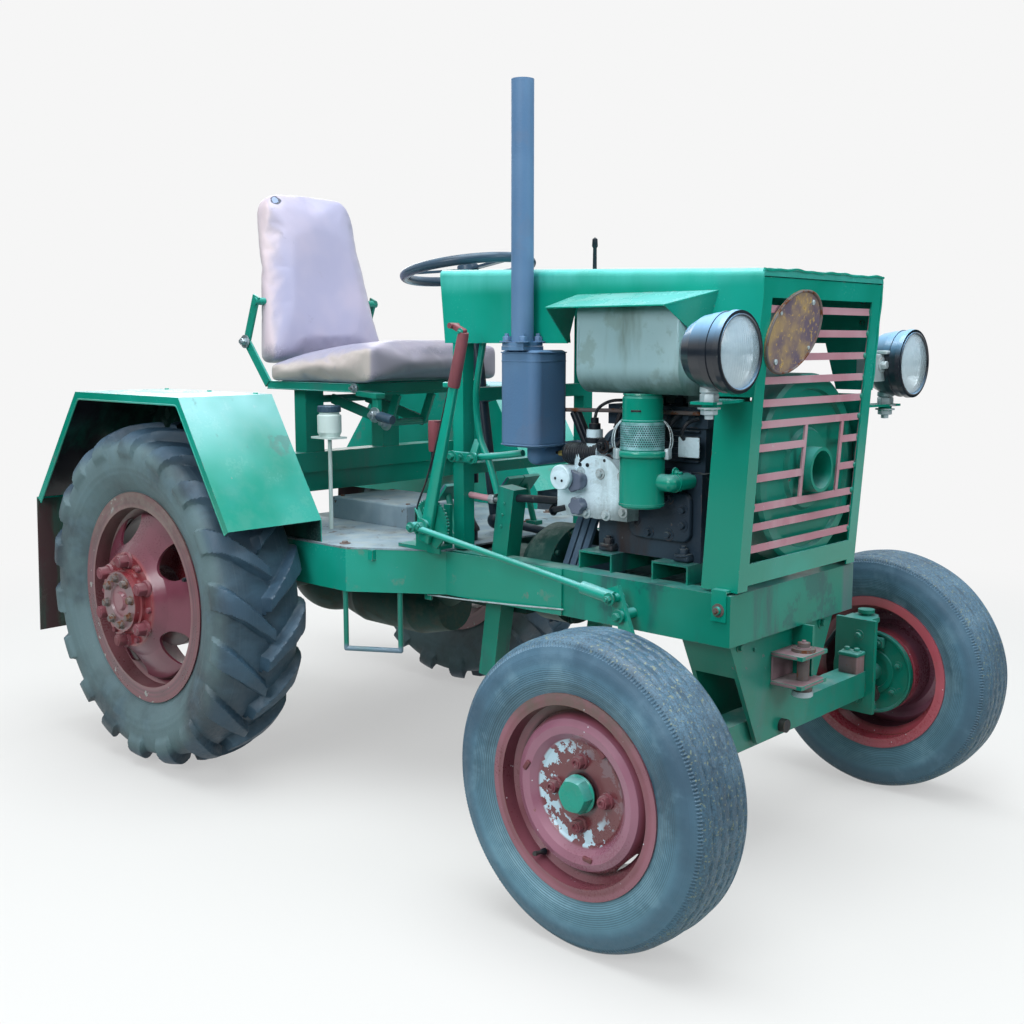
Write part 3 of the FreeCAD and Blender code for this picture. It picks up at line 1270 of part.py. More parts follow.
def drawbar():
    """Flat tongue under the rear cross member with a pin hole, and its upright plate."""
    level = drawbar_level
    pin_x = drawbar_half - rear_overhang
    tongue = block(pin_x, -150.0, -drawbar_half, drawbar_half, level, level + drawbar_wall)
    nose = Part.makeCylinder(drawbar_half, drawbar_wall, Vector(pin_x, 0, level), UP)
    upright = block(-190.0, -150.0, -45.0, 45.0, level, rail_bottom + rail_wall - 0.3)
    stays = []
    for side in (-1, 1):
        stays.append(beam(Vector(pin_x + 100.0, side * 18.0, level + 9.0),
                          Vector(-180.0, side * 200.0, rail_bottom - 7.0), 30.0, 10.0))
    body = fused([tongue, nose, upright] + stays)
    save("rear_drawbar", body.cut(Part.makeCylinder(drawbar_bore, 60.0, Vector(pin_x, 0, level - 20.0), UP)))


# ---- build --------------------------------------------------------------------------------------
for side in (-1, 1):
    front_wheel(side)
    rear_wheel(side)
    knuckle(side)
    fender(side)
chassis()
hanger()
front_axle()
steering_links()
steering_wheel()
rear_axle()
gearbox()
drive_belts()
engine()
flywheel_housing()
gear_case()
air_cleaner()
fuel_tank()
exhaust()
hood()
grille()
grille_bars()
oval_plate()
headlamps()
deck()
side_step()
seat()
seat_frame()
seat_stand()
tunnel()
reservoir()
dash_frame()
hand_lever()
lever_stand()
shift_levers()
pull_rod()
pedals()
drawbar()
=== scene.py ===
import bpy
import bmesh
import math
import numpy as np
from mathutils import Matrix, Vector


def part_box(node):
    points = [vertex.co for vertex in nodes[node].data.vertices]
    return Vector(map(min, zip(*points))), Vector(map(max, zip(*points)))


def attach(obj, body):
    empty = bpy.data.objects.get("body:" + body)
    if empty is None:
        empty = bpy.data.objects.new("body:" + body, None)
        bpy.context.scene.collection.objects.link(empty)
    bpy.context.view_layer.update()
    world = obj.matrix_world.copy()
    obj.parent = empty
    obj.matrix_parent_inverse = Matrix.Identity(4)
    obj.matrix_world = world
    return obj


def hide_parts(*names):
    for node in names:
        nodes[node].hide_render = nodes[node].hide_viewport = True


# Worn farm tractor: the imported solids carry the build, this script adds the finish and the small parts.
# The frame is in metres: +X forward, +Y the driver's left, +Z up, the floor is z = 0. Shapes are told in
# millimetres from the point of the floor under the rear axle, and piece() brings them into the frame.
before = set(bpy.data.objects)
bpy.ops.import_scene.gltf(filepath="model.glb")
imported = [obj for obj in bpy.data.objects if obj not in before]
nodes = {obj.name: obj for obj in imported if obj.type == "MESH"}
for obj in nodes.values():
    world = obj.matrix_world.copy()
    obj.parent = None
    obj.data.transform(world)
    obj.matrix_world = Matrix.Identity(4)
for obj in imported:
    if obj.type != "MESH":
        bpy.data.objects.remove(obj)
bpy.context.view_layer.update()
ahead, left, up = np.eye(3)
right, tau = -left, 2 * math.pi
underAxle = np.mean(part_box("rear_rim_left"), 0) * [1, 0, 0]
hands = {-1: "right", 1: "left"}


# ---- places ----
def extent(node):
    return (np.array(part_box(node)) - underAxle) * 1000


def middle(node):
    return extent(node).mean(0)


def metres(spots):
    return np.array(spots, float) / 1000 + underAxle


def unit(way):
    return np.array(way, float) / np.linalg.norm(way)


def around(count):
    return np.linspace(0, tau, count, endpoint=False)


# ---- shapes: every one is a pair of arrays, points and four-cornered faces ----
def grid(points, closeRows=False, closeColumns=False):
    # points[i, j] is the surface at row i and column j; each face joins (i, j) to (i + 1, j + 1)
    rows, columns = points.shape[:2]
    i = np.arange(rows if closeRows else rows - 1)[:, None]
    j = np.arange(columns if closeColumns else columns - 1)[None, :]
    nextI, nextJ = (i + 1) % rows, (j + 1) % columns
    faces = np.stack([i * columns + j, nextI * columns + j, nextI * columns + nextJ, i * columns + nextJ], -1)
    return points.reshape(-1, 3), faces.reshape(-1, 4)


def together(shapes):
    starts = np.cumsum([0] + [len(points) for points, _ in shapes])
    return (np.concatenate([points for points, _ in shapes]),
            np.concatenate([faces + start for (_, faces), start in zip(shapes, starts)]))


def moved(shape, origin, across=ahead, upward=up):
    # local x goes along across, local z along upward, local y finishes the right-handed set
    x = unit(across)
    z = unit(np.array(upward, float) - np.dot(upward, x) * x)
    return shape[0] @ np.array([x, np.cross(z, x), z]) + np.array(origin, float), shape[1]


def sideways(axis):
    # two directions at right angles to axis
    axis = unit(axis)
    first = unit(np.cross(axis, up if abs(axis[2]) < 0.9 else ahead))
    return first, np.cross(axis, first)


def lathe(rows, origin, axis, sides=48, closed=False, lobes=None):
    # rows are (distance along the axis, radius); a third number bends that row's circle toward a hexagon,
    # or into lobes of (count, depth)
    rows = np.array([(*row, 0)[:3] for row in rows], float)
    angle = around(sides)
    bend = math.cos(math.pi / 6) / np.cos(angle % (math.pi / 3) - math.pi / 6) - 1
    if lobes:
        bend = lobes[1] * np.cos(lobes[0] * angle)
    radius = rows[:, 1:2] * (1 + rows[:, 2:] * bend)
    first, second = sideways(axis)
    ring = np.outer(np.cos(angle), first) + np.outer(np.sin(angle), second)
    points = np.array(origin, float) + rows[:, :1, None] * unit(axis) + radius[:, :, None] * ring
    return grid(points, closeRows=closed, closeColumns=True)


def rounded(corners, radius, steps=5):
    # a route through the corners, each turned by a quadratic curve that starts radius before it
    corners = np.array(corners, float)
    route = [corners[0]]
    for before, here, after in zip(corners, corners[1:], corners[2:]):
        start, end = (here + (other - here) * min(0.48, radius / np.linalg.norm(other - here))
                      for other in (before, after))
        t = np.linspace(0, 1, steps + 1)[:, None]
        route += list((1 - t) ** 2 * start + 2 * t * (1 - t) * here + t ** 2 * end)
    return np.array(route + [corners[-1]])


def smoothRoute(corners, count=40):
    # a curve through the corners: cubic in each span, with slopes from the neighbours
    c = np.array(corners, float)
    slope = np.gradient(c, axis=0)
    t = np.linspace(0, len(c) - 1, count)
    k = np.minimum(t.astype(int), len(c) - 2)
    f = (t - k)[:, None]
    return ((2 * f ** 3 - 3 * f ** 2 + 1) * c[k] + (f ** 3 - 2 * f ** 2 + f) * slope[k]
            + (3 * f ** 2 - 2 * f ** 3) * c[k + 1] + (f ** 3 - f ** 2) * slope[k + 1])


def sweep(route, section, closed=False, hint=None):
    # section[(a, b)] is carried along the route: a runs sideways, b stays as near to hint as it can
    route, section = np.array(route, float), np.array(section, float)
    tangent = np.roll(route, -1, 0) - np.roll(route, 1, 0) if closed else np.gradient(route, axis=0)
    tangent /= np.linalg.norm(tangent, axis=1)[:, None]
    if hint is None:
        b = [sideways(tangent[0])[0]]
        for t in tangent[1:]:
            b.append(unit(b[-1] - np.dot(b[-1], t) * t))
        b = np.array(b)
    else:
        b = hint - (tangent @ hint)[:, None] * tangent
        b /= np.linalg.norm(b, axis=1)[:, None]
    a = np.cross(b, tangent)
    points = route[:, None] + section[:, :1] * a[:, None] + section[:, 1:] * b[:, None]
    if not closed:
        ends = points[:1] * 0
        points = np.concatenate([ends + route[0], points, ends + route[-1]])
    return grid(points, closeRows=closed, closeColumns=True)


def circle(radius, sides=8):
    return np.stack([radius * np.cos(around(sides)), radius * np.sin(around(sides))], -1)


def pipe(corners, radius, bend=20, sides=12):
    return sweep(rounded(corners, bend), circle(radius, sides))


def roundedOutline(halfX, halfY, radius, inset=0, steps=4):
    # a rectangle whose corners are quarter circles of one radius or of four, drawn in by inset
    angle = np.concatenate([np.linspace(q, q + 1, steps + 1) * math.pi / 2 for q in range(4)])
    radius = np.repeat(np.broadcast_to(radius, 4), steps + 1)
    cornerX = np.repeat([1, -1, -1, 1], steps + 1) * (halfX - radius)
    cornerY = np.repeat([1, 1, -1, -1], steps + 1) * (halfY - radius)
    return np.stack([cornerX + (radius - inset) * np.cos(angle), cornerY + (radius - inset) * np.sin(angle)], -1)


def stacked(outlines, levels):
    # flat outlines one above the other, as one skin
    return grid(np.stack([np.column_stack([outline, np.full(len(outline), level)])
                          for outline, level in zip(outlines, levels)]), closeColumns=True)


def block(size, radius=2, edge=None, steps=3):
    # a box about the origin with rounded corners; edge is the round at its two ends
    halfX, halfY, halfZ = np.array(size, float) / 2
    edge = min(np.min(radius) if edge is None else edge, halfZ * 0.98, np.min(radius))
    turn = np.linspace(0, math.pi / 2, steps + 1)
    levels, insets = halfZ - edge * (1 - np.sin(turn)), edge * (1 - np.cos(turn))
    outlines = [roundedOutline(halfX, halfY, radius, inset) for inset in (*insets[::-1], *insets)]
    point = outlines[0] * 0
    return stacked([point, *outlines, point], [-halfZ, *-levels[::-1], *levels, halfZ])


def slab(outline, thick):
    # a flat plate whose whole outline can be seen from its middle
    outline = np.array(outline, float)
    centre = outline * 0 + outline.mean(0)
    return stacked([centre, outline, outline, centre], np.array([-0.5, -0.5, 0.5, 0.5]) * thick)


def bar(start, end, width, depth, radius=2, upward=up):
    # a rounded bar from start to end; depth is measured along upward
    start, end = np.array(start, float), np.array(end, float)
    points, faces = block((width, depth, np.linalg.norm(end - start)), radius)
    return moved((points[:, [2, 0, 1]], faces), (start + end) / 2, end - start, upward)


def bolt(at, way, size, stud=0, washer=True, tall=0.62):
    # washer, six-sided head with a turned top, and a stud that stands out of a nut
    base, height = size * 0.16 if washer else -0.5, size * tall
    rows = [(-0.5, 0), (-0.5, size * 1.02), (base, size), (base, size * 0.6, 0.5)] if washer else []
    rows += [(base, size * 0.58, 1), (base + height * 0.85, size * 0.58, 1), (base + height, size * 0.47)]
    if stud:
        rows += [(base + height, size * 0.3), (base + height + stud, size * 0.29)]
    return lathe(rows + [(base + height + stud, 0)], at, way, 18)


def bolts(places, way, size, **more):
    return [bolt(place, way, size, **more) for place in places]


def piece(name, shapes, finish, body="chassis", sharp=38, stands=()):
    # the finished object: doubles merged so that seams and poles close, faces turned outward
    points, faces = together([shapes] if isinstance(shapes, tuple) else shapes)
    mesh = bpy.data.meshes.new(name)
    mesh.from_pydata(metres(points).tolist(), [], faces.tolist())
    work = bmesh.new()
    work.from_mesh(mesh)
    bmesh.ops.remove_doubles(work, verts=work.verts, dist=1e-6)
    bmesh.ops.recalc_face_normals(work, faces=work.faces)
    work.to_mesh(mesh)
    work.free()
    mesh.shade_smooth()
    mesh.set_sharp_from_angle(angle=math.radians(sharp))
    made = bpy.data.objects.new(name, mesh)
    bpy.context.scene.collection.objects.link(made)
    mesh.materials.append(finishes.get(finish, finish))
    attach(made, body)
    if stands:
        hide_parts(*stands)
    return made


# ---- shader maths ----
class Wire:
    # one socket of a material, so that maths on it reads as plain expressions
    def __init__(self, shade, socket):
        self.shade, self.socket = shade, socket

    def math(self, operation, *others):
        return self.shade.node("Math", {"operation": operation}, dict(enumerate([self, *others])))

    def __add__(self, other):
        return self.math("ADD", other)

    def __sub__(self, other):
        return self.math("SUBTRACT", other)

    def __rsub__(self, other):
        return self.shade.node("Math", {"operation": "SUBTRACT"}, {0: other, 1: self})

    def __mul__(self, other):
        return self.math("MULTIPLY", other)

    def __truediv__(self, other):
        return self.math("DIVIDE", other)

    def between(self, start, end):
        # 0 below start, 1 above end, smooth in between
        return self.shade.node("MapRange", {"interpolation_type": "SMOOTHSTEP"}, {0: self, 1: start, 2: end})


class Shade:
    # a material and its nodes; colours in it are told as on a screen, 0 to 255
    def __init__(self, name):
        self.material = bpy.data.materials.new(name)
        self.material.use_nodes = True
        self.tree = self.material.node_tree
        self.shader = self.tree.nodes["Principled BSDF"]
        self.place = self.node("TexCoord", {}, {}, "Object")
        self.facing = self.node("TexCoord", {}, {}, "Normal")

    def node(self, kind, settings, inputs, output=0):
        made = self.tree.nodes.new("ShaderNode" + kind)
        for key, value in settings.items():
            setattr(made, key, value)
        self.fill(made, inputs)
        return Wire(self, made.outputs[output])

    def fill(self, node, inputs):
        for key, value in inputs.items():
            if isinstance(value, Wire):
                self.tree.links.new(value.socket, node.inputs[key])
            else:
                node.inputs[key].default_value = value

    def noise(self, scale, detail=3, rough=0.55, place=None):
        return self.node("TexNoise", {}, {
            "Vector": place or self.place, "Scale": scale, "Detail": detail, "Roughness": rough})

    def stretched(self, factors=(1, 1, 1), centre=(0, 0, 0)):
        return self.node("Mapping", {}, {"Vector": self.place, "Scale": factors, "Location": centre})

    def part(self, vector, axis):
        return self.node("SeparateXYZ", {}, {0: vector}, axis)

    def parts(self, vector):
        return [self.part(vector, axis) for axis in range(3)]

    def length(self, vector):
        return self.node("VectorMath", {"operation": "LENGTH"}, {0: vector}, "Value")

    def cells(self, scale):
        return self.node("TexVoronoi", {}, {"Vector": self.place, "Scale": scale})

    def edges(self, reach):
        # how far the rounded normal leaves the true one: high along outer and inner edges
        soft = self.node("Bevel", {"samples": 4}, {"Radius": reach})
        plain = self.node("NewGeometry", {}, {}, "Normal")
        same = self.node("VectorMath", {"operation": "DOT_PRODUCT"}, {0: soft, 1: plain}, "Value")
        return (1 - same).between(0.02, 0.35)

    def mix(self, amount, first, second):
        tones = {6: first, 7: second}
        tones = {key: rgb(*tone) if isinstance(tone, tuple) else tone for key, tone in tones.items()}
        return self.node("Mix", {"data_type": "RGBA"}, {0: amount, **tones}, 2)

    def over(self, amount, tone, under=None):
        # lays tone over the colour so far, or over the first one, by amount
        self.colour = self.mix(amount, under or self.colour, tone)

    def set(self, **sockets):
        self.fill(self.shader, {key.replace("_", " "): value for key, value in sockets.items()})
        return self.material

    def bump(self, height, strength, distance=0.002):
        return self.node("Bump", {}, {"Height": height, "Strength": strength, "Distance": distance})


def rgb(red, green, blue):
    # a screen colour, 0 to 255, as the linear colour that the shader takes
    c = np.array([red, green, blue]) / 255
    return (*np.where(c <= 0.04045, c / 12.92, ((c + 0.055) / 1.055) ** 2.4), 1)


# ---- paint and metal ----
usual = dict(
    wideScale=3.1, grainScale=160, flakeScale=42, edgeReach=0.004, edgeWear=0.16, fade=0.5, streak=0.35, chipStart=0.7,
    under=(140, 150, 142), rust=1, skyReflection=0, skyReflectionTone=(150, 214, 222), patches=(), zones=(), dust=0.45, mud=0.4,
    dustTone=(170, 176, 172), mudTone=(104, 96, 84), mudTop=0.55, rough=0.34, dentScale=7, grain=0.12, dents=0.8,
    metal=0, coat=0, coatRough=0.2, specular=0.26, bump=0.35, bumpDepth=0.003)


def worn(name, look):
    # paint or metal that has faded, chipped at its edges, rusted and gathered dust; upward faces can carry a painted
    # sky reflection and undersides painted shade
    look = {**usual, "dull": look["faded"], **look}
    s = Shade(name)
    wide = s.noise(look["wideScale"], 3)
    streak = s.noise(11, 5, 0.6, s.stretched((1, 1, 0.22)))
    grain = s.noise(look["grainScale"], 3, 0.6)
    flakes = s.noise(look["flakeScale"], 6, 0.68)
    s.over(wide.between(0.38, 0.66) * look["fade"], look["faded"], look["base"])
    s.over(streak.between(0.5, 0.72) * look["streak"], look["dull"])
    torn = flakes + s.edges(look["edgeReach"]) * look["edgeWear"] + (streak - 0.5) * 0.25
    start = look["chipStart"]
    chips = torn.between(start, start + 0.03)
    s.over(chips, look["under"])
    rusty = (torn + (grain - 0.5) * 0.12).between(start + 0.045, start + 0.085) * look["rust"]
    s.over(rusty, s.mix(grain, (70, 42, 32), (128, 74, 44)))
    level, lift = s.part(s.place, 2), s.part(s.facing, 2)
    # painted sky reflection: upward faces are lightened toward a pale sky tone
    skyReflection = lift.between(0.15, 0.9) * (wide.between(0.3, 0.62) * 0.6 + 0.4) * look["skyReflection"]
    if "skyReflectionRise" in look:  # only the upper part gets the painted sky reflection
        skyReflection = skyReflection * (level.between(*look["skyReflectionRise"]) * 0.85 + 0.15)
    s.over(skyReflection, look["skyReflectionTone"])
    if "paintedShade" in look:  # painted shade: darker on undersides and on the walls beside the wheels
        outward = s.part(s.node("VectorMath", {"operation": "MULTIPLY"}, {0: s.facing, 1: s.place}), 1)
        inner = outward.between(0.3, 0.36) * (1 - outward.between(0.42, 0.46))
        paintedShadeMask = (1 - lift.between(-0.5, -0.15)).math("MAXIMUM", inner) * (streak.between(0.3, 0.6) * 0.3 + 0.7)
        s.over(paintedShadeMask, look["paintedShade"])
    for scale, start, tone, amount in look["patches"]:
        area = s.noise(scale, 4, 0.6) + (flakes - 0.5) * 0.3
        s.over(area.between(start, start + 0.07) * amount, tone)
    for axis, start, end, tone, amount in look["zones"]:
        inside = s.part(s.place, axis).between(start, end) * (streak.between(0.3, 0.6) * 0.5 + 0.5)
        s.over(inside * amount, tone)
    dust = lift.between(0.25, 0.95) * s.noise(17, 5, 0.6).between(0.42, 0.68) * look["dust"]
    mud = (1 - level.between(0.12, look["mudTop"])) * s.noise(24, 6, 0.65).between(0.45, 0.62) * look["mud"]
    s.over(dust, look["dustTone"])
    s.over(mud, look["mudTone"])
    gloss = (wide - 0.5) * 0.16 + look["rough"] + (grain - 0.5) * 0.1
    gloss = (gloss + chips * 0.25 + dust * 0.45 + mud * 0.5).math("MINIMUM", 0.95)
    dents = s.noise(look["dentScale"], 1) * look["dents"]
    height = grain * look["grain"] + dents - chips * 0.25 + rusty * 0.1
    return s.set(Base_Color=s.colour, Roughness=gloss, Metallic=look["metal"], Coat_Weight=look["coat"] * 0.4,
                 Coat_Roughness=look["coatRough"], Specular_IOR_Level=look["specular"],
                 Normal=s.bump(height, look["bump"], look["bumpDepth"]))


print("materials")
# bodyLook and frameLook lay a faint painted sky reflection on upward faces
bodyLook = dict(
    base=(8, 140, 118), faded=(30, 170, 152), dull=(44, 146, 134), rough=0.24, coat=0.6, coatRough=0.12,
    chipStart=0.735, under=(120, 146, 142), dust=0.22, mud=0.2, fade=0.55, skyReflection=0.5, dents=1.4, dentScale=5)
frameLook = dict(
    base=(10, 124, 104), faded=(28, 152, 134), dull=(70, 116, 112), rough=0.36, chipStart=0.685,
    under=(98, 116, 116), dust=0.4, mud=0.2, streak=0.5, coat=0.3, skyReflection=0.25)
flapRear = metres((-476, 0, 0))[0]  # the fenders' rear flaps start here
# each finish and the nodes that wear it
looks = {
    "bodyPaint": (bodyLook, "grille_frame air_cleaner hand_lever pull_rod dash_frame"),
    "framePaint": (frameLook, "axle_hanger front_axle_beam knuckle_left knuckle_right tie_rod pitman_arm "
        "flywheel_housing seat_frame seat_stand lever_stand pedals"),
    "railPaint": (dict(frameLook, streak=0.95, dull=(48, 80, 84), mud=0.1, patches=((5, 0.54, (30, 84, 84), 0.6),),
        zones=((1, 0.186, 0.204, (92, 106, 112), 0.8),)), "chassis_frame"),
    # the fenders carry a strong painted sky reflection on their upper faces
    "fenderPaint": (dict(bodyLook, chipStart=0.7, skyReflection=1, skyReflectionTone=(200, 240, 250), skyReflectionRise=(0.74, 0.93),
        # next: the dark tone for painted shade on undersides and beside the wheels
        paintedShade=(40, 38, 44), patches=((9, 0.62, (96, 122, 120), 0.5),),
        zones=((0, flapRear, flapRear - 0.006, (92, 60, 64), 0.95),)), "fender_left fender_right"),
    "skirtPaint": (dict(bodyLook, chipStart=0.7, mud=0.04, dust=0.1, patches=(
        (8, 0.62, (96, 134, 120), 0.6), (13, 0.67, (128, 112, 108), 0.6))), "side_skirts"),
    # the pale band along the hood's top is a painted highlight
    "hoodPaint": (dict(bodyLook, zones=((2, 1.155, 1.2, (116, 222, 216), 0.55),)), "hood"),
    "stepPaint": (dict(frameLook, zones=((2, 0.362, 0.35, (116, 134, 154), 0.9),)), "side_steps"),
    "barPink": (dict(base=(190, 130, 142), faded=(220, 182, 192), rough=0.42, chipStart=0.69, under=(196, 206, 206),
        rust=0.5, dust=0.3, flakeScale=90), "grille_bars"),
    "blackPaint": (dict(base=(20, 32, 44), faded=(44, 62, 76), under=(92, 100, 106), dust=0.35,
        dustTone=(130, 150, 160)), "steering_column shift_levers"),
    "enginePaint": (dict(base=(34, 48, 62), faded=(66, 84, 98), dull=(58, 46, 44), rough=0.45, streak=0.9,
        chipStart=0.66, under=(96, 100, 104), dust=0.55, grain=0.5, grainScale=90, dents=0.1,
        bump=0.6, rust=0.7), "engine_block"),
    "alloyCast": (dict(base=(216, 236, 246), faded=(238, 248, 254), dull=(140, 154, 156), rough=0.5, metal=0.1,
        streak=0.9, chipStart=0.665, patches=((19, 0.56, (160, 174, 174), 0.35),),
        zones=((2, 0.742, 0.7, (84, 90, 90), 0.6),), under=(96, 108, 116), rust=0.25, grain=0.9,
        grainScale=130, dents=0.15, bump=0.7, dust=0.2, flakeScale=70), "gear_case"),
    "tankGrey": (dict(base=(150, 180, 186), faded=(182, 206, 208), dull=(116, 134, 128), rough=0.42,
        patches=((7, 0.52, (126, 146, 140), 0.5),), zones=((2, 1.016, 0.964, (50, 80, 74), 0.95),),
        chipStart=0.74, under=(110, 112, 104), streak=0.9, dust=0.3, metal=0.15), "fuel_tank"),
    "exhaustBlue": (dict(base=(86, 118, 154), faded=(120, 154, 186), dull=(98, 108, 134), rough=0.5,
        patches=((12, 0.58, (112, 116, 134), 0.15),), chipStart=0.74, under=(110, 96, 96),
        rust=0.3, grain=0.6, grainScale=210, dents=0.1, dust=0.4, dustTone=(140, 164, 182)),
        "exhaust_muffler exhaust_pipe"),
    "steel": (dict(base=(150, 160, 166), faded=(184, 194, 200), dull=(112, 108, 106), rough=0.3, metal=0.75,
        under=(96, 84, 78), dust=0.2), ""),
    "rustySteel": (dict(base=(104, 94, 94), faded=(140, 134, 132), dull=(118, 76, 58), rough=0.7, metal=0.2,
        streak=0.9, chipStart=0.55, under=(122, 80, 60), grain=0.7, dust=0.3), "tow_pin"),
    "deckSheet": (dict(base=(126, 144, 156), faded=(168, 184, 194), dull=(112, 110, 106), rough=0.6, metal=0.15,
        streak=0.7, chipStart=0.62, under=(98, 98, 98), rust=0.5, dust=0.6, wideScale=8),
        "floor_deck tunnel_cover"),
    # the lamp shells carry a painted sky reflection on their upper faces
    "lampBlack": (dict(base=(10, 18, 28), faded=(20, 32, 46), rough=0.3, coat=0.8, coatRough=0.14, skyReflection=1,
        skyReflectionTone=(128, 176, 214), chipStart=0.82, dust=0, streak=0.1, dents=0.05, bump=0.08,
        specular=0.5), "headlamp_shells"),
    "plateCast": (dict(base=(112, 96, 112), faded=(176, 146, 108), dull=(92, 78, 92), rough=0.45, wideScale=17,
        fade=1, streak=0.7, chipStart=0.58, under=(206, 170, 104), flakeScale=95, rust=0.6,
        grain=0.6, dust=0.1, dents=0.1), "oval_plate"),
    "beltRubber": (dict(base=(74, 96, 118), faded=(108, 130, 150), rough=0.75, chipStart=0.78, rust=0, dust=0.4,
        dents=0, streak=0.6, dustTone=(138, 156, 172)), "drive_belts"),
    "gripPlastic": (dict(base=(40, 58, 74), faded=(74, 98, 118), rough=0.32, coat=0.4, chipStart=0.8, rust=0,
        dust=0.25, dents=0.05, dustTone=(120, 150, 170)), "steering_wheel"),
    "milkPlastic": (dict(base=(204, 218, 216), faded=(226, 236, 232), dull=(172, 168, 146), rough=0.38,
        chipStart=0.86, rust=0, dust=0.2, dents=0.1, streak=0.6), "brake_reservoir"),
    "chipRed": (dict(base=(112, 54, 62), faded=(142, 82, 92), rough=0.5, chipStart=0.68, under=(150, 150, 150),
        rust=0.7, dust=0.3), ""),
    "gripRed": (dict(base=(122, 58, 66), faded=(160, 98, 106), dull=(96, 58, 62), rough=0.5, chipStart=0.74,
        under=(176, 168, 164), rust=0.3, dust=0.3, streak=0.7), ""),
    "paleMetal": (dict(base=(176, 190, 196), faded=(206, 218, 222), dull=(136, 130, 120), rough=0.42, metal=0.35,
        chipStart=0.68, under=(128, 112, 98), rust=0.7, dust=0.25), ""),
    "oilyBlack": (dict(base=(20, 26, 34), faded=(38, 48, 58), dull=(62, 52, 50), rough=0.42, streak=0.8,
        chipStart=0.66, under=(92, 92, 90), dust=0.6, dustTone=(116, 122, 122), bump=0.5),
        "axle_pivot_pin"),
    "jawRust": (dict(base=(138, 112, 118), faded=(172, 148, 154), dull=(130, 94, 82), rough=0.62, metal=0.1,
        streak=0.8, chipStart=0.64, under=(150, 104, 78), rust=0.5, grain=0.6, dust=0.4), ""),
    # dark green for the parts under the deck: the darkness is painted shade, the mud on it is real
    "shadeAndGrimeGreen": (dict(base=(14, 62, 56), faded=(30, 88, 78), dull=(50, 56, 54), rough=0.5, streak=0.9,
        chipStart=0.66, under=(70, 74, 72), mud=0.7), "rear_axle gearbox rear_drawbar"),
    "brass": (dict(base=(176, 156, 92), faded=(204, 190, 130), dull=(112, 98, 60), rough=0.35, metal=0.6,
        chipStart=0.72, under=(90, 80, 62), rust=0.2, dust=0.2), "")}


def paint(node, finish):
    nodes[node].data.materials.clear()
    nodes[node].data.materials.append(finish)


finishes = {name: worn(name, look) for name, (look, _) in looks.items()}
for name, (_, wearers) in looks.items():
    for node in wearers.split():
        paint(node, finishes[name])


# ---- tyres ----
def fromAxle(s, centre):
    # for zones that follow a wheel: the distance from its axle, then along, aside and up from its middle
    along, aside, height = s.parts(s.stretched(centre=tuple(-metres(centre))))
    return (along * along + height * height).math("SQRT"), along, aside, height


def rubber(name, centre, look):
    # worn blue-grey rubber with rubbed rings; dust lies in the hollows, told by the distance from the axle
    s = Shade(name)
    radius, _, _, height = fromAxle(s, centre)
    wide, fine = s.noise(5, 4), s.noise(95, 5, 0.65)
    rings = s.node("TexNoise", {"noise_dimensions": "1D"}, {"W": radius * 260, "Detail": 5, "Roughness": 0.8})
    smear = s.noise(14, 5, 0.6, s.stretched((1, 0.4, 1)))
    s.over(wide.between(0.35, 0.65), look["faded"], look["base"])
    s.over(rings.between(0.45, 0.75) * look["rings"], look["ringTone"])
    s.over(smear.between(0.48, 0.66) * look["smear"], look["smearTone"])
    hollow = 1 - radius.between(*look["dustReach"])
    dust = (hollow * 0.75 + fine.between(0.55, 0.8) * 0.35) * wide.between(0.25, 0.6) * look["dust"]
    s.over(dust, look["dustTone"])
    washed = (1 - height.between(-0.26, 0.12)) * look["washed"]
    s.over(washed * (wide * 0.5 + 0.5), look["washedTone"])
    s.over(radius.between(*look["shoulder"]) * 0.6, s.mix(smear, (34, 60, 80), (66, 98, 122)))
    ribStart, ribEnd = look["ribs"]
    ribs = (radius * 1700).math("SINE").between(-0.2, 0.7) * radius.between(ribStart, ribStart + 0.004)
    ribs = ribs * (1 - radius.between(ribEnd - 0.012, ribEnd))
    s.over(ribs * 0.5, look["ribTone"])
    dirt = (radius - look["treadFrom"]).between(0, 0.008)
    s.over(dirt * s.noise(300, 4, 0.7).between(0.46, 0.6) * look["treadDirt"], look["treadTone"])
    s.over(dirt * s.noise(170, 3).between(0.6, 0.66) * look["treadDirt"], (136, 140, 108))
    gloss = (wide - 0.5) * 0.3 + 0.5 + dust * 0.3 + fine.between(0.4, 0.7) * 0.15
    lumps = fine * 0.6 + s.noise(320, 2) * 0.3 + rings * 0.15 - ribs * 0.5
    return s.set(Base_Color=s.colour, Roughness=gloss.math("MINIMUM", 0.95), Specular_IOR_Level=0.6,
                 Normal=s.bump(lumps, 0.4, 0.0015))


def hump(value, centre, reach):
    # 1 at the centre, fading to nothing some way past reach
    return np.exp(-((value - centre) / reach) ** 2)


def arcLength(profile):
    return np.concatenate([[0], np.cumsum(np.linalg.norm(np.diff(profile, axis=0), axis=1))])


def tyreSkin(profile, count):
    # the profile, rounded, divided evenly and mirrored: (aside, radius) from bead to bead, and what it faces
    smooth = smoothRoute(profile, 400)
    length = arcLength(smooth)
    even = np.linspace(0, length[-1], count)
    half = np.stack([np.interp(even, length, smooth[:, k]) for k in (0, 1)], -1)
    skin = np.concatenate([half[::-1] * [-1, 1], half[1:]])
    step = np.gradient(skin, axis=0)
    return skin, np.stack([-step[:, 1], step[:, 0]], -1) / np.linalg.norm(step, axis=1)[:, None]


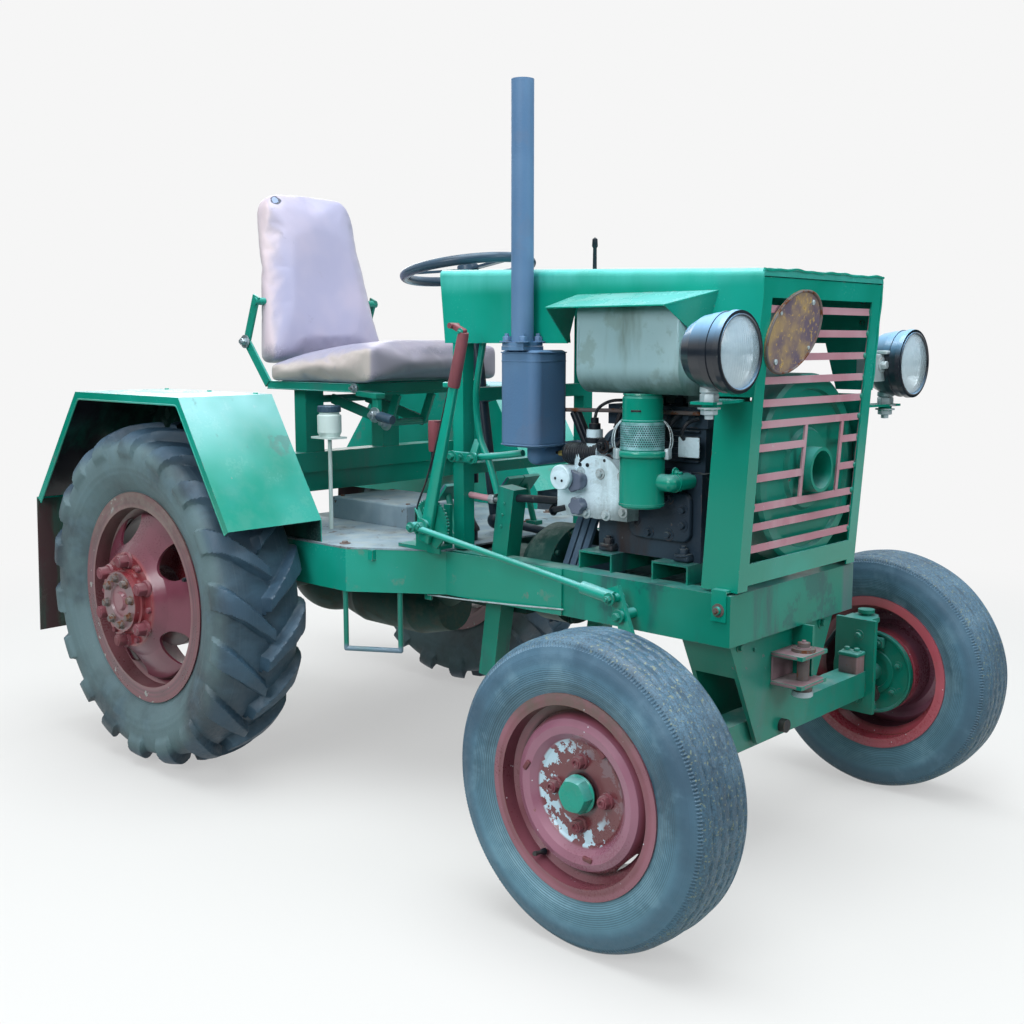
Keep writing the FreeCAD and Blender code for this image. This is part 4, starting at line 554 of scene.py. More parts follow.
def tyre(kind, side, centre, skin, normal, raised, bead, seat, look):
    # the skin raised along its normal all around; inside, straight down to the rim seat and across
    hand, angle = hands[side], around(len(raised))[:, None]
    inner = np.tile([[bead, seat], [-bead, seat]], (len(raised), 1, 1))
    aside, radius = np.moveaxis(np.concatenate([skin + raised[:, :, None] * normal, inner], 1), 2, 0)
    radius = np.minimum(radius, centre[2])
    points = centre + np.stack([radius * np.cos(angle), aside, radius * np.sin(angle)], -1)
    piece(kind + "Tyre_" + hand, grid(points, closeRows=True, closeColumns=True),
          rubber(kind + "Rubber" + hand.title(), centre, look), "wheel_%s_%s" % (kind, hand), 32,
          ["%s_tyre_%s" % (kind, hand)])


def wheelMiddle(kind, side):
    centre = middle("%s_rim_%s" % (kind, hands[side]))
    centre[1] = middle("%s_tyre_%s" % (kind, hands[side]))[1]
    return centre


rearTread = dict(
    lugs=18, perLug=40, points=55, height=27.5, firstLug=9, slope=0.95, widthOut=66, widthIn=36, widthReach=105,
    past=12, pastEdge=9, flank=11, end=150, endEdge=16, fallFrom=1.22, fallReach=160, least=0.25)


def rearTyre(side):
    # the carcass is a ring of one profile; each lug raises it along its normal inside a slanting strip
    t = rearTread
    centre = wheelMiddle("rear", side)
    outer, half = centre[2], np.ptp(extent("rear_tyre_" + hands[side])[:, 1]) / 2 - 2
    floor = outer - t["height"]
    # distance from the middle plane, radius, from the tread's middle down to the bead
    skin, normal = tyreSkin([
        (0, floor), (35, floor - 1), (70, floor - 5), (half - 20, floor - 13), (half - 6, floor - 30),
        (half - 1, floor - 56), (half - 4, floor - 86), (half - 14, floor - 112), (half - 26, floor - 130),
        (half - 30.5, outer - 166)], t["points"])
    aside = skin[:, 0]
    reach = np.abs(arcLength(skin) - arcLength(skin)[len(skin) // 2])
    angle, pitch = around(t["lugs"] * t["perLug"])[:, None], tau / t["lugs"]
    raised = 0
    for hand in (-1, 1):
        start = math.radians(t["firstLug"]) + (pitch / 2 if hand * side < 0 else 0)
        shift = t["slope"] * (half - 4 - aside * hand) / outer
        away = np.abs((angle - start + shift + pitch / 2) % pitch - pitch / 2) * outer
        wide = t["widthIn"] + (t["widthOut"] - t["widthIn"]) * np.clip(reach / t["widthReach"], 0, 1)
        body = np.clip((wide / 2 + t["flank"] / 2 - away) / t["flank"], 0, 1)
        inEnd = np.clip((aside * hand + t["past"]) / t["pastEdge"], 0, 1)
        outEnd = np.clip((t["end"] - reach) / t["endEdge"], 0, 1)
        outEnd = outEnd * np.clip(t["fallFrom"] - reach / t["fallReach"], t["least"], 1)
        lug = np.minimum(np.minimum(body, inEnd), outEnd)
        raised = np.maximum(raised, lug * lug * (3 - 2 * lug))
    wear = 1 + 0.05 * np.sin(3 * angle + 1) + 0.04 * np.sin(7 * angle + 2)
    ripple = 1.2 * hump(reach, 168, 3.5) + hump(reach, 184, 3)  # two raised lines on the wall
    raised = np.minimum(t["height"] * wear * raised, t["height"]) + ripple
    tyre("rear", side, centre, skin, normal, raised, half - 30.5, outer - 199, dict(
        base=(18, 36, 50), faded=(44, 70, 90), smear=0.3, smearTone=(92, 124, 146), rings=0.3,
        ringTone=(110, 126, 128), shoulder=(0.375, 0.42), ribs=(0.262, 0.277), ribTone=(40, 60, 66), washed=0.15,
        washedTone=(96, 118, 122), dustReach=(floor / 1000 - 0.03, floor / 1000 + 0.002), dust=0.75,
        dustTone=(120, 142, 142), treadFrom=outer / 1000, treadDirt=0, treadTone=(60, 66, 60)))


frontTread = dict(
    notches=264, perNotch=4, points=39, grooves=(0, 21, 42), grooveDepth=3.5, grooveWidth=2.2, zigzag=3.5,
    rib=0.7, ribPitch=5.2, ribFrom=66, ribFade=6, lip=1.6, lipAt=19.5, lipReach=1.6, notch=1.6, notchAt=15,
    notchReach=2.4, worn=0.6, wornDepth=10)


def frontTyre(side):
    # a car tyre: ribbed lower wall, plain round wall, a notched shoulder line and a worn zigzag tread
    t = frontTread
    name = "front_tyre_" + hands[side]
    centre = middle(name)
    outer, half = centre[2], np.ptp(extent(name)[:, 1]) / 2
    bead = half - 11.2
    skin, normal = tyreSkin([
        (0, outer), (30, outer - 0.6), (50, outer - 3), (60.5, outer - 8.5), (67.5, outer - 19), (73.5, outer - 34),
        (half, outer - 50), (half - 1, outer - 66), (half - 4, outer - 80), (bead + 2, outer - 92),
        (bead, outer - 98)], t["points"])
    aside, drop = skin[:, 0], outer - skin[:, 1]
    angle = around(t["notches"] * t["perNotch"])[:, None]
    ribs = t["rib"] * np.sin(drop * tau / t["ribPitch"]) * np.clip((drop - t["ribFrom"]) / t["ribFade"], 0, 1)
    lip = t["lip"] * hump(drop, t["lipAt"], t["lipReach"])
    tooth = np.where(np.arange(len(angle)) % t["perNotch"] < t["perNotch"] / 2, 1, -0.6)
    raised = ribs + lip - t["notch"] * hump(drop, t["notchAt"], t["notchReach"]) * tooth[:, None]
    for groove in t["grooves"]:
        zigzag = groove + t["zigzag"] * np.abs((angle * t["notches"] / 8 / math.pi) % 2 - 1)
        raised = raised - t["grooveDepth"] * hump(np.abs(aside), zigzag, t["grooveWidth"])
    raised = raised + t["worn"] * np.sin(9 * angle) * np.sin(aside * 0.16) * (drop < t["wornDepth"])
    tyre("front", side, centre, skin, normal, raised, bead, outer - 115.8, dict(
        base=(52, 86, 106), faded=(96, 138, 162), smear=0.45, smearTone=(134, 168, 186), rings=0.9,
        ringTone=(22, 44, 60), shoulder=(0.222, 0.246), ribs=(0.184, 0.232), ribTone=(30, 56, 66), washed=0.5,
        washedTone=(126, 176, 192), dustReach=(outer / 1000 - 0.092, outer / 1000 - 0.06), dust=0.4,
        dustTone=(112, 128, 128), treadFrom=outer / 1000 - 0.018, treadDirt=0.6, treadTone=(34, 46, 54)))


print("tyres")
for side in (-1, 1):
    rearTyre(side)
    frontTyre(side)


# ---- wheel paint and the nuts on the hubs ----
def wheelPaint(name, centre, look):
    # red paint in rings by the distance from the axle, among them a pale crest ring that is a painted sheen and narrow
    # dark rings that are painted shade in the grooves; pale primer shows where it has flaked off
    s = Shade(name)
    radius, along, aside, height = fromAxle(s, centre)
    wide, grain, torn = s.noise(6, 3), s.noise(180, 3, 0.6), s.noise(34, 5, 0.62)
    s.over(wide.between(0.38, 0.64), look["faded"], look["base"])
    for start, end, tone, amount in look["rings"]:
        inside = radius.between(start - 0.003, start + 0.003) * (1 - radius.between(end - 0.003, end + 0.003))
        s.over(inside * amount * (wide.between(0.25, 0.6) * 0.35 + 0.65), tone)
    grimy = height.between(*look["grimeRise"]) * radius.between(*look["grimeReach"])
    s.over(grimy * (torn.between(0.35, 0.6) * 0.5 + 0.5) * look["grime"], look["grimeTone"])
    start, end = look["flakes"]
    flaking = radius.between(start - 0.004, start + 0.004) * (1 - radius.between(end, end + 0.004))
    flaking = flaking * (1 - (along + height * 0.5).between(-0.01, 0.07) * 0.9)
    bare = (torn + wide * 0.25).between(look["flakeAt"], look["flakeAt"] + 0.012) * flaking
    s.over(bare, look["bare"])
    inner = (aside * (-1 if centre[1] > 0 else 1)).between(0.01, 0.03) * look["inner"]
    s.over(inner * (wide * 0.5 + 0.5), look["innerTone"])
    dots = (1 - s.cells(62).between(0.05, 0.1)) * s.noise(21, 1).between(0.54, 0.58) * look["dots"]
    s.over(dots, (226, 226, 232))
    rust = (torn + s.edges(0.004) * 0.22 + (grain - 0.5) * 0.1).between(0.7, 0.74) * look["rust"]
    s.over(rust, s.mix(grain, (84, 50, 42), (146, 92, 66)))
    gloss = (wide - 0.5) * 0.2 + 0.3 + (grain - 0.5) * 0.15 + bare * 0.1 + rust * 0.3 + grimy * look["grime"] * 0.4
    lumps = grain * 0.25 + torn * 0.3 - bare * 0.5 + s.noise(14, 2) * 0.6
    return s.set(Base_Color=s.colour, Roughness=gloss, Coat_Weight=0.4, Coat_Roughness=0.18,
                 Normal=s.bump(lumps, 0.3, 0.0015))


wheelLooks = {
    "front": dict(
        inner=0.8, innerTone=(206, 78, 92), base=(110, 52, 60), faded=(142, 78, 92), flakes=(0.06, 0.094),
        flakeAt=0.625, bare=(196, 220, 234), dots=1, rust=0.8, grime=0.75, grimeTone=(92, 84, 74),
        grimeRise=(0.085, 0.15), grimeReach=(0.138, 0.15), rings=[
            # the pale lilac ring from 0.097 to 0.136 is a painted sheen, the dark ring from 0.14 to 0.1485 painted
            # shade in a groove
            (0, 0.041, (30, 22, 26), 0.85), (0.041, 0.092, (104, 48, 50), 0.8),
            (0.097, 0.136, (164, 108, 130), 0.75), (0.14, 0.1485, (48, 30, 36), 0.8),
            (0.15, 0.166, (122, 72, 82), 0.6), (0.172, 0.184, (158, 100, 116), 0.5)]),
    "rear": dict(
        inner=0.4, innerTone=(150, 70, 82), base=(86, 32, 44), faded=(118, 54, 70), flakes=(0.235, 0.262),
        flakeAt=0.76, bare=(150, 150, 146), dots=0.2, rust=0.9, grime=0.6, grimeTone=(134, 124, 116),
        grimeRise=(0.05, 0.22), grimeReach=(0.207, 0.216), rings=[
            # the lilac ring from 0.118 to 0.205 is partly a painted sheen; the narrow dark rings at 0.205, 0.236 and
            # 0.246 are painted shade in grooves
            (0, 0.04, (150, 96, 104), 0.8), (0.038, 0.072, (130, 108, 110), 0.6),
            (0.072, 0.118, (140, 50, 54), 0.75), (0.118, 0.205, (116, 50, 70), 0.45),
            (0.205, 0.215, (74, 50, 54), 0.85), (0.218, 0.232, (134, 96, 96), 0.5), (0.236, 0.24, (70, 40, 46), 0.8),
            (0.246, 0.25, (78, 44, 50), 0.8), (0.25, 0.262, (108, 44, 54), 0.75)])}
# rings of nuts: how many, first angle, distance from the middle plane, radius, sides, rows
frontNuts = (4, 0, 38.5, 57.5, 24, [
    (0, 0), (0, 15), (4, 14), (4.5, 12.2, 1), (14, 12.2, 1), (16, 10.5), (16.2, 7.8), (18.5, 7.4), (18.5, 4.8), (15, 4),
    (15, 0)])
rearNuts = (6, 24, 124.5, 100, 24, [
    (0, 0), (0, 21.5), (6, 19), (6.5, 16.3, 1), (25.5, 16.3, 1), (28.5, 13.5), (28.5, 9.8), (30, 9.2), (30, 0)])
rearStuds = (6, 54, 124.5, 103, 14, [(0, 0), (0, 7.5), (8, 6.8), (10, 4), (10, 0)])
hubBolts = (8, 10, 146.8, 57, 24, [
    (0, 0), (0, 11.8), (2, 11.2), (2.2, 9.6, 1), (10.5, 9.6, 1), (12.5, 7.8), (12.5, 0)])
hubCap = [(42.5, 0), (42.5, 33.5), (45.5, 34.5), (47.5, 33.5, 0.8), (62, 32.5, 0.8), (66.8, 28.5, 0.4), (67.6, 20),
          (66.2, 12), (67.2, 0)]
# valves: angle, distance from the middle plane, radius, lean, rows
valves = {
    "front": ("tyreValve_", 238, 46, 151.5, -0.25, [
        (-2, 0), (-2, 6.2), (4, 5.5), (10, 3.6), (22, 3.4), (23, 4.4), (31, 4.2), (32, 0)]),
    "rear": ("rearValve_", 20, 46, 214, -0.2, [
        (-2, 0), (-2, 7.5), (4, 6.5), (12, 4.2), (34, 4), (35, 5.2), (44, 5), (45, 0)])}


def wheelSpot(centre, side, angle, along, radius):
    # a point of a wheel: angle in degrees upward from straight ahead, along outward from the middle plane
    turn = math.radians(angle)
    return centre + np.array([radius * math.cos(turn), side * along, radius * math.sin(turn)])


def wheelFittings(kind, side):
    hand, out = hands[side], left * side
    centre, body = wheelMiddle(kind, side), "wheel_%s_%s" % (kind, hand)

    def nutRing(count, first, along, radius, sides, rows):
        return [lathe(rows, wheelSpot(centre, side, first + 360 / count * k, along, radius), out, sides)
                for k in range(count)]

    paint("%s_rim_%s" % (kind, hand), wheelPaint(kind + "WheelRed" + hand.title(), centre, wheelLooks[kind]))
    if kind == "front":
        nuts = nutRing(*frontNuts)
        for angle, radius, along in ((60, 98, 46), (166, 116, 56.5), (56, 141, 40), (285, 112, 56)):  # balance tags
            nuts.append(moved(block((20, 9, 6), 2.2), wheelSpot(centre, side, angle, along, radius),
                              wheelSpot(0, side, angle + 70, 0, 1), out))
        hub = "hubCap_", lathe(hubCap, centre, out), "bodyPaint", "body_paint", 30
    else:
        nuts = [shape for pair in zip(nutRing(*rearNuts), nutRing(*rearStuds)) for shape in pair]
        hub = "hubBolts_", nutRing(*hubBolts), "rustySteel", "wheel_paint", 38
    piece(kind + "WheelNuts_" + hand, nuts, "chipRed", body)
    name, shapes, finish, slotName, sharp = hub
    piece(name + hand, shapes, finish, body, sharp)
    name, angle, along, radius, lean, rows = valves[kind]
    piece(name + hand, lathe(rows, wheelSpot(centre, side, angle, along, radius),
                             wheelSpot(0, side, angle, 1, lean), 16), "oilyBlack", body)


print("wheel fittings")
for side in (-1, 1):
    wheelFittings("front", side)
    wheelFittings("rear", side)


# ---- seat ----
def vinyl(name, look):
    # thin grained vinyl: the side panels are paler than the face, edges are scuffed, one corner is torn
    s = Shade(name)
    wide, blotch = s.noise(4.5, 3), s.noise(19, 5, 0.62)
    grain, streak = s.noise(260, 3, 0.6), s.noise(9, 4, 0.6, s.stretched((1, 1, 0.3)))
    across = s.part(s.facing, 1).math("ABSOLUTE").between(0.45, 0.85)
    s.over(wide.between(0.35, 0.65), look["faceFaded"], look["face"])
    s.over(across, s.mix(streak.between(0.4, 0.6), look["side"], look["sideFaded"]))
    s.over(s.part(s.facing, 0).between(0.55, 0.9) * look["frontShare"], look["front"])
    creased = (1 - across) * across * 4 * blotch.between(0.42, 0.62) * look["edgeGrime"]
    s.over(creased, seatGrime)
    for centre, reach, amount in look["smudges"]:  # dirt in soft ovals
        reach = np.array(reach)
        away = s.length(s.stretched(tuple(1 / reach), tuple(-metres(centre) / reach)))
        patch = (1 - away.between(0.3, 1.1)) * (blotch * 0.7 + grain * 0.5).between(0.5, 0.64) * amount
        s.over(patch, (92, 92, 110))
    away = s.length(s.stretched(centre=tuple(-metres(tearSpot)))) + (blotch - 0.5) * 0.045
    s.over(1 - away.between(0.017, 0.02), (38, 44, 62))
    s.over(1 - away.between(0.012, 0.014), (126, 142, 176))
    s.over(blotch.between(0.64, 0.7) * 0.35, seatGrime)
    gloss = (wide - 0.5) * 0.2 + 0.42 + (blotch - 0.5) * 0.15
    height = s.cells(620) * 0.5 + grain * 0.3 + blotch * 0.5
    return s.set(Base_Color=s.colour, Roughness=gloss, Sheen_Weight=0.15, Sheen_Roughness=0.5,
                 Normal=s.bump(height, 0.35, 0.0012))


def readPoints(mesh):
    points = np.zeros(len(mesh.vertices) * 3)
    mesh.vertices.foreach_get("co", points)
    return points.reshape(-1, 3)


def writePoints(mesh, points):
    mesh.vertices.foreach_set("co", points.reshape(-1))
    mesh.update()


def baked(made):
    # the mesh as its modifiers leave it; they are then taken off
    mesh = bpy.data.meshes.new_from_object(made.evaluated_get(bpy.context.evaluated_depsgraph_get()))
    made.modifiers.clear()
    return mesh


air = dict(voxel=0.006, stiff=40, cap=0.022, mass=0.4, quality=6, frames=20)


def pumped(made, pressure):
    # air pressed into the sewn cover: remeshed fine, swollen by cloth, no point moving past the cap
    scene = bpy.context.scene
    dense = made.modifiers.new("dense", "REMESH")
    dense.mode, dense.voxel_size = "VOXEL", air["voxel"]
    made.data = mesh = baked(made)
    start = readPoints(mesh)
    cloth = made.modifiers.new("air", "CLOTH")
    how = cloth.settings
    how.use_pressure, how.uniform_pressure_force, how.effector_weights.gravity = True, pressure, 0
    how.mass, how.quality = air["mass"], air["quality"]
    how.tension_stiffness = how.compression_stiffness = air["stiff"]
    how.shear_stiffness = air["stiff"] * 0.4
    cloth.point_cache.frame_start, cloth.point_cache.frame_end = 1, air["frames"]
    for step in range(1, air["frames"] + 1):
        scene.frame_set(step)
    swollen = baked(made)
    scene.frame_set(1)
    move = readPoints(swollen) - start
    size = np.linalg.norm(move, axis=1)[:, None]
    move *= np.minimum(1, air["cap"] / np.maximum(size, 1e-9))
    writePoints(mesh, start + move)
    bpy.data.meshes.remove(swollen)


def dressed(made, relax, touches):
    # the last touches after the swelling, in shop millimetres, then a gentle smoothing
    mesh = made.data
    writePoints(mesh, metres(touches((readPoints(mesh) - underAxle) * 1000)))
    mesh.shade_smooth()
    mesh.materials.clear()
    mesh.materials.append(covers[made.name])
    relaxed = made.modifiers.new("relaxed", "SMOOTH")
    relaxed.factor, relaxed.iterations = 0.5, relax
    smooth = made.modifiers.new("smooth", "SUBSURF")
    smooth.levels = smooth.render_levels = 1


print("seat")
seatGrime, tearSpot = (132, 128, 142), np.array([-88, -118, 1440])
covers = {
    "seatBackPad": vinyl("backCover", dict(
        face=(160, 155, 180), faceFaded=(180, 168, 186), side=(196, 176, 184), sideFaded=(204, 184, 188),
        front=(162, 162, 190), frontShare=0.2, edgeGrime=0.2,
        smudges=[((-20, -190, 1020), (0.05, 0.06, 0.04), 0.5), ((-70, 150, 1380), (0.04, 0.05, 0.1), 0.3)])),
    "seatCushionPad": vinyl("cushionCover", dict(
        face=(142, 138, 160), faceFaded=(160, 150, 164), side=(178, 163, 158), sideFaded=(186, 172, 166),
        front=(146, 138, 150), frontShare=0.8, edgeGrime=0.25,
        smudges=[((424, 60, 1036), (0.06, 0.2, 0.018), 0.6), ((424, -215, 970), (0.04, 0.04, 0.02), 0.5),
                 ((410, 0, 972), (0.05, 0.24, 0.015), 0.4)]))}
backRest = dict(foot=np.array([-1, 0, 1008]), lean=0.19, rise=452, thick=68, lowHalf=203, highHalf=142,
                corner=(62, 50, 24, 24), edge=18, tearReach=18, tearDepth=7, tearDrop=4, worn=6)
cushion = dict(rear=4, level=955, length=420, half=228, rearThick=44, frontThick=94, corner=26, edge=14, bow=34,
               sag=5)


def backRestPoint(local):
    # local x across, y up the lean from the middle, z through the thickness, front at plus
    b = backRest
    half = b["lowHalf"] + (b["highHalf"] - b["lowHalf"]) * (local[:, 1] / b["rise"] + 0.5)
    leanWay, through = np.array([-b["lean"], 0, 1]), unit((1, 0, b["lean"]))
    centre = b["foot"] - through * b["thick"] / 2 + leanWay * b["rise"] / 2
    aside = local[:, 0] / b["lowHalf"] * half
    return centre + np.outer(local[:, 1], leanWay) + np.outer(local[:, 2], through) + np.outer(aside, left)


def backTouches(points):
    # the torn corner sinks, and the face hollows a little where a back has leaned on it
    b = backRest
    sunk = hump(np.linalg.norm(points - tearSpot, axis=1), 0, b["tearReach"])
    points -= np.outer(sunk, [b["tearDepth"], 0, b["tearDrop"]])
    climb = points[:, 2] - b["foot"][2]
    leaned = hump(climb / b["rise"], 0.42, 0.26) * hump(points[:, 1], 0, 100)
    depth = b["foot"][0] - b["lean"] * climb - points[:, 0]
    points[:, 0] -= b["worn"] * leaned * np.clip(1 - (depth + 10) / 45, 0, 1)
    return points


def cushionBase(x, y):
    # flat on its rails, bowed up along the front edge
    c = cushion
    run = np.clip((x - c["rear"]) / c["length"], 0, 1)
    near = np.clip((run - 0.62) / 0.38, 0, 1) ** 2
    return c["level"] + 2 + c["bow"] * near * np.clip(1 - (y / c["half"]) ** 2, 0, 1)


def cushionPoint(local):
    # local x forward, y across, z from 0 at the base to 1 at the top
    c = cushion
    x, y, z = local.T
    along = x + c["rear"] + c["length"] / 2
    top = c["level"] + c["rearThick"] + (c["frontThick"] - c["rearThick"]) * (x / c["length"] + 0.5)
    base = cushionBase(along, y)
    return np.column_stack([along, y, base + (top - base) * (z / c["frontThick"] + 0.5)])


def cushionTouches(points):
    # it lies flat on its rails, and its top sinks a little where the driver sits
    c = cushion
    x, y = points[:, 0], points[:, 1]
    z = np.maximum(points[:, 2], cushionBase(x, y) - 1)
    sag = hump(x, c["rear"] + 200, 130) * hump(y, 0, 120)
    return np.column_stack([x, y, z - c["sag"] * sag * np.clip((z - c["level"] - 20) / 30, 0, 1)])


b, c = backRest, cushion
points, faces = block((2 * b["lowHalf"], b["rise"], b["thick"]), b["corner"], b["edge"], 4)
backPiece = piece("seatBackPad", (backRestPoint(points), faces), covers["seatBackPad"], sharp=60,
                  stands=["seat_back"])
pumped(backPiece, 2.4)
dressed(backPiece, 9, backTouches)
points, faces = block((c["length"], 2 * c["half"], c["frontThick"]), c["corner"], c["edge"], 4)
seatPiece = piece("seatCushionPad", (cushionPoint(points), faces), covers["seatCushionPad"], sharp=60,
                  stands=["seat_cushion"])
pumped(seatPiece, 2.2)
dressed(seatPiece, 7, cushionTouches)


# ---- headlamps, name plate and grille ----
print("front")
lamp = dict(face=1535, aside=339, levels={-1: 1041, 1: 1012}, lens=64.8, length=112, flute=6.5, fluteDepth=0.7,
            crown=11.5)


def lensShape(side):
    # front and back skins by ring and angle; upright flutes ripple the front and fade out at the rim
    ring, angle = np.linspace(0, 1, 30)[:, None] * lamp["lens"], around(120)
    y, z = ring * np.cos(angle), ring * np.sin(angle)
    share = ring / lamp["lens"]
    dome = lamp["crown"] * (1 - share ** 2) + 0 * y
    flutes = lamp["fluteDepth"] * np.abs(np.sin(math.pi * y / lamp["flute"])) * np.clip((1 - share) * 8, 0, 1)
    skins = [np.stack([dome + flutes - 2, y, z], -1), np.stack([dome * 0.9 - 4.8, y, z], -1)[::-1]]
    return grid(np.concatenate(skins) + [lamp["face"], side * lamp["aside"], lamp["levels"][side]], closeColumns=True)


def lampGlass():
    s = Shade("lampGlass")
    fine = s.noise(60, 4)
    # the pale colour, bluer towards the top, is a painted reflection on the glass
    tone = s.mix(s.part(s.place, 2).between(0.96, 1.1), (240, 250, 255), (206, 230, 244))
    tone = s.mix(fine.between(0.5, 0.75) * 0.3, tone, (206, 220, 226))
    return s.set(Base_Color=tone, Roughness=fine * 0.12 + 0.1, Alpha=fine * 0.2 + 0.3, Coat_Weight=1,
                 Coat_Roughness=0.05, Normal=s.bump(fine, 0.08, 0.001))


def lampMirror():
    s = Shade("lampMirror")
    fine = s.noise(35, 3)
    return s.set(Base_Color=s.mix(fine, (240, 248, 252), (206, 222, 232)), Metallic=0.95,
                 Roughness=fine * 0.15 + 0.22)


finishes.update(lampGlass=lampGlass(), lampMirror=lampMirror())
bowl = [(22.5 + 76 * t ** 2, 62.8 * t) for t in np.linspace(0, 1, 14)]
# name, finish, slot, sides, closed, and the rows from the back of the shell
lampParts = [
    ("lampMirrors", "lampMirror", "lamp_glass", 64, False, bowl + [(a - 1.2, r) for a, r in bowl[::-1]]),
    ("lampBulbs", "paleMetal", "lamp_glass", 24, False, [
        (24, 0), (24, 10), (34, 10), (36, 7.5), (52, 8.5), (62, 6), (66, 0)]),
    ("lampRims", "lampBlack", "lamp_shell", 72, True, [
        (108.5, 64), (108.5, 66.8), (113.5, 66.2), (114.2, 64.5), (112, 62.8)]),
    ("lampSeams", "lampBlack", "lamp_shell", 72, True, [(83, 68.5), (83.8, 71.2), (86.2, 71.2), (87, 69)])]
backs = [np.array([lamp["face"] - lamp["length"], side * lamp["aside"], lamp["levels"][side]]) for side in (-1, 1)]
piece("headlampGlass", [lensShape(side) for side in (-1, 1)], "lampGlass", sharp=25,
      stands=["headlamp_lenses"])
for name, finish, slotName, sides, closed, rows in lampParts:
    piece(name, [lathe(rows, back, ahead, sides, closed) for back in backs], finish)
upperNut = [(0, 0), (0, 22.5), (3.5, 22.5), (4, 17, 1), (17.5, 17, 1), (19, 14), (21, 17.5), (30, 17), (32, 0)]
lowerNut = [(0, 0), (0, 20.5), (3, 20.5), (3.5, 15, 1), (12.5, 15, 1), (13.5, 12), (13.8, 8), (21, 7.8), (22, 0)]
piece("lampNuts", [lathe(rows, back + [50, 0, level], way, 24) for back in backs
                   for rows, level, way in ((upperNut, -91.5, up), (lowerNut, -97.3, -up))], "paleMetal")
piece("lampClamp", [moved(block((42, 60, 58), 4), (1478, 258, 1004)), moved(block((30, 34, 8), 3), (1496, 276, 1036)),
                    bolt((1499, 262, 1010), ahead, 16)], "paleMetal")


def grilleX(z):
    # the grille leans forward as it rises
    return 1471 + (z - 590) * 0.066


plateWay, plateUp = unit((1, 0, -0.066)), unit((0.066, 0, 1))
oval = dict(centre=np.array([grilleX(1077) + 3.4, -112, 1077]), long=105, short=68, tilt=math.radians(30))


def ovalPoint(turn, share, rise=0):
    # around the oval by turn, out from its middle by share, lifted off its face by rise
    a, b = share * oval["long"] * np.cos(turn), share * oval["short"] * np.sin(turn)
    cos, sin = math.cos(oval["tilt"]), math.sin(oval["tilt"])
    return (oval["centre"] + np.multiply.outer(a * cos - b * sin, left) + np.multiply.outer(a * sin + b * cos, plateUp)
            + np.multiply.outer(rise + 0 * a, plateWay))


rimRows = np.array([(0.935, -1), (0.94, 2.2), (0.955, 3.4), (0.978, 3.4), (0.995, 2), (0.999, -1)])
piece("ovalRim", grid(ovalPoint(around(120)[None, :], rimRows[:, :1], rimRows[:, 1:]), closeRows=True,
                      closeColumns=True), "rustySteel", sharp=50)
piece("ovalRivets", [bolt(ovalPoint(turn, share), plateWay, size, washer=False, tall=0.3) for turn, share, size in (
    (0.35, 0.8, 10), (0.35 + math.pi, 0.8, 10), (1.9, 0.86, 7), (5.1, 0.86, 7))], "paleMetal")

# weld spots where the bars meet the frame, and the bolts of the front's feet
barLevels = (1118, 1074, 1030, 987, 945, 905, 861, 804, 748, 710, 668)
weld = [(0, 0), (0.6, 6.5), (3, 5), (4.2, 0)]
weldAt = [(grilleX(level) - 5.2, side * (198 - 3 * (k * 7 % 3)), level + 2 - k * 5 % 4)
          for k, level in enumerate(barLevels) for side in (-1, 1)]
piece("grilleWelds", [lathe(weld, place, ahead, 10) for place in weldAt], "framePaint", sharp=60)
piece("frontBolts", [bolt((1440, side * 244.6, 556), left * side, 13, stud=3) for side in (-1, 1)]
      + [bolt((1469, side * 226, z), left * side, 9, washer=False, tall=0.35)
         for side in (-1, 1) for z in (1098, 1140)], "rustySteel")

# the rolled edge of the bonnet's roof over the grille, a touch uneven, and the peg that stands on the roof
along, z = np.linspace(-1, 1, 60), np.linspace(962, 1172, 30)
wavy = 1.2 * np.sin(along * 9) + 0.9 * np.sin(along * 23 + 1)
lip = [sweep(np.column_stack([1511.5 + wavy * 0.6, along * 229.5, 1188.5 + wavy]),
             [(-2.2, -2.2), (2.2, -2.2), (2.2, 1.8), (0, 2.6), (-2.2, 1.8)], hint=up)]
lip += [sweep(np.column_stack([grilleX(z) + 1 + 0.6 * np.sin(z * 0.09), 0 * z + side * 229, z]), circle(2.2))
        for side in (-1, 1)]
piece("hoodEdge", lip, "bodyPaint", sharp=60)
piece("roofPeg", lathe([(0, 0), (0, 11), (4, 10), (6, 4.8), (58, 4.2), (62, 6.6), (78, 5.8), (82, 0)],
                       (933, 0, 1207), up, 16), "oilyBlack")

# muffler: flange bolts, and a pressed seam round its foot and head
piece("flangeBolts", [bolt((954 + off, -262 + across * off, 1057.6), up, 15.5, stud=6)
                      for off in (-23, 23) for across in (-1, 1)], "exhaustBlue")
seams = []
for level, out in ((1036, 0.4), (843, 0.6), (1018, -0.6)):
    outline = roundedOutline(53.4 + out, 56.4 + out, 22, 0, 6)
    seams.append(sweep(np.column_stack([outline + [954, -226], outline[:, :1] * 0 + level]), circle(1.4), True, up))
piece("mufflerSeams", seams, "exhaustBlue", sharp=60)


